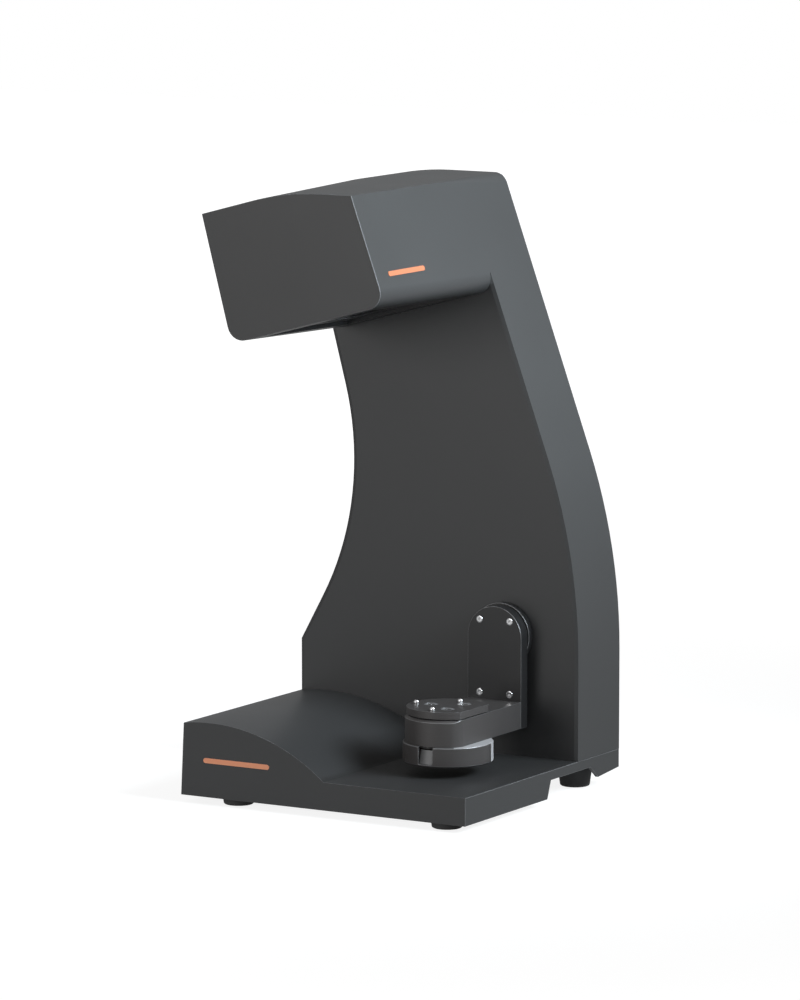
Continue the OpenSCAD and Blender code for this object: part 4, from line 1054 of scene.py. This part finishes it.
def soft_light(name, place, size, watts, aim, spread=180, tint=(1, 1, 1)):
    data = bpy.data.lights.new(name, "AREA")
    data.shape = "RECTANGLE"
    data.size, data.size_y = size
    data.energy = watts
    data.spread = math.radians(spread)
    data.color = tint
    lamp = bpy.data.objects.new(name, data)
    lamp.location = place
    lamp.rotation_euler = (Vector(aim) - Vector(place)).to_track_quat("-Z", "Y").to_euler()
    bpy.context.scene.collection.objects.link(lamp)


def make_camera():
    towards = Vector((
        math.sin(AZIMUTH) * math.cos(ELEVATION), -math.cos(AZIMUTH) * math.cos(ELEVATION), math.sin(ELEVATION)))
    data = bpy.data.cameras.new("camera")
    data.lens = LENS
    data.sensor_width = SENSOR
    data.clip_end = 100
    camera = bpy.data.objects.new("camera", data)
    camera.location = AIM + towards * sizes().camera_distance
    camera.rotation_euler = towards.to_track_quat("Z", "Y").to_euler()
    bpy.context.scene.collection.objects.link(camera)
    bpy.context.scene.camera = camera


def make_world():
    """An even white world: full white to the camera, and in reflections brightest overhead and to the right."""
    world = bpy.data.worlds.new("studio")
    bpy.context.scene.world = world
    world.use_nodes = True
    tree = world.node_tree
    background = tree.nodes["Background"]
    path = tree.nodes.new("ShaderNodeLightPath")
    seen = maths(tree, "MAXIMUM", path.outputs["Is Camera Ray"], path.outputs["Is Transmission Ray"])
    place = tree.nodes.new("ShaderNodeTexCoord")
    direction = tree.nodes.new("ShaderNodeSeparateXYZ")
    tree.links.new(place.outputs["Generated"], direction.inputs[0])
    above = ramp(tree, direction.outputs["Z"], 0.15, 0.55)
    rightward = ramp(tree, direction.outputs["X"], -0.45, 0.55)
    overhead = ramp(tree, direction.outputs["Z"], 0.6, 0.9333)
    upper = maths(tree, "MAXIMUM", maths(tree, "MULTIPLY", above, rightward), overhead)
    low, high = REFLECTED_SKY
    sky = maths(tree, "ADD", maths(tree, "MULTIPLY", upper, high - low), low)
    mirrored = maths(tree, "MULTIPLY", path.outputs["Is Glossy Ray"], sky)
    strength = maths(tree, "MAXIMUM", maths(tree, "MAXIMUM", seen, mirrored), WORLD_LIGHT)
    background.inputs["Color"].default_value = (1, 1, 1, 1)
    tree.links.new(strength, background.inputs["Strength"])


def floor_material():
    """A pale matt floor that glows to the camera, so that it runs out into white."""
    material = bpy.data.materials.new("studio floor")
    material.use_nodes = True
    tree = material.node_tree
    principled = tree.nodes["Principled BSDF"]
    principled.inputs["Base Color"].default_value = (*colours().floor, 1)
    principled.inputs["Roughness"].default_value = 0.9
    principled.inputs["Specular IOR Level"].default_value = 0.0
    principled.inputs["Emission Color"].default_value = (1, 1, 1, 1)
    path = tree.nodes.new("ShaderNodeLightPath")
    place = tree.nodes.new("ShaderNodeTexCoord")
    distance = add_node(tree, "ShaderNodeVectorMath", operation="LENGTH")
    tree.links.new(place.outputs["Object"], distance.inputs[0])
    near_white, more_white = FLOOR_WHITE
    far = ramp(tree, distance.outputs["Value"], 0.5, 2.0)
    white = maths(tree, "ADD", maths(tree, "MULTIPLY", far, more_white), near_white)
    mirrored = maths(tree, "MULTIPLY", path.outputs["Is Glossy Ray"], REFLECTED_FLOOR)
    glow = maths(tree, "MULTIPLY", maths(tree, "MAXIMUM", path.outputs["Is Camera Ray"], mirrored), white)
    tree.links.new(glow, principled.inputs["Emission Strength"])
    return material


def make_floor():
    shape = bmesh.new()
    bmesh.ops.create_grid(shape, x_segments=1, y_segments=1, size=FLOOR_REACH)
    mesh = bpy.data.meshes.new("floor")
    shape.to_mesh(mesh)
    shape.free()
    mesh.materials.append(floor_material())
    floor = bpy.data.objects.new("floor", mesh)
    bpy.context.scene.collection.objects.link(floor)


class SCANNER_OT_studio(bpy.types.Operator):
    """Sets the camera, the soft lights, the world and the pale floor"""
    bl_idname = "scanner.studio"
    bl_label = "Studio"
    bl_options = {"REGISTER", "UNDO"}

    def execute(self, context):
        context.scene.view_settings.view_transform = "Standard"
        make_camera()
        soft_light(
            "right_softbox", (0.8, 0.05, 0.8), (0.7, 0.7), sizes().key_watts, aim=(0.1, 0, 0.45), spread=54,
            tint=(0.82, 0.93, 1.0))
        soft_light("front_fill", (-0.8, -2.3, 0.55), (1.1, 0.8), sizes().fill_watts, aim=(0, 0, 0.3))
        make_world()
        make_floor()
        return {"FINISHED"}


# ---------------------------------------------------------------- panel and run

STEPS = (
    SCANNER_OT_studio, SCANNER_OT_shells, SCANNER_OT_marks, SCANNER_OT_feet, SCANNER_OT_arm, SCANNER_OT_painted_drum_highlight,
    SCANNER_OT_turntable, SCANNER_OT_screws, SCANNER_OT_rear_fittings, SCANNER_OT_inside,
)


class SCANNER_PT_panel(bpy.types.Panel):
    """Lists the scanner's sizes, colours and building steps"""
    bl_label = "Desktop 3D scanner"
    bl_idname = "SCANNER_PT_panel"
    bl_space_type = "VIEW_3D"
    bl_region_type = "UI"
    bl_category = "Scanner"

    def draw(self, context):
        for group in (context.scene.scanner_sizes, context.scene.scanner_colours):
            box = self.layout.box()
            for name in group.bl_rna.properties.keys():
                if name not in {"rna_type", "name"}:
                    box.prop(group, name)
        for step in STEPS:
            self.layout.operator(step.bl_idname)


CLASSES = (ScannerSizes, ScannerColours, *STEPS, SCANNER_PT_panel)


def register():
    for cls in CLASSES:
        bpy.utils.register_class(cls)
    bpy.types.Scene.scanner_sizes = PointerProperty(type=ScannerSizes)
    bpy.types.Scene.scanner_colours = PointerProperty(type=ScannerColours)


def unregister():
    del bpy.types.Scene.scanner_colours
    del bpy.types.Scene.scanner_sizes
    for cls in reversed(CLASSES):
        bpy.utils.unregister_class(cls)


def main():
    register()
    bpy.ops.scanner.studio()
    bpy.ops.scanner.shells()
    bpy.ops.scanner.marks()
    bpy.ops.scanner.feet()
    bpy.ops.scanner.arm()
    bpy.ops.scanner.drum_lip()
    bpy.ops.scanner.turntable()
    bpy.ops.scanner.screws()
    bpy.ops.scanner.rear_fittings()
    bpy.ops.scanner.inside()


if __name__ == "__main__":
    main()
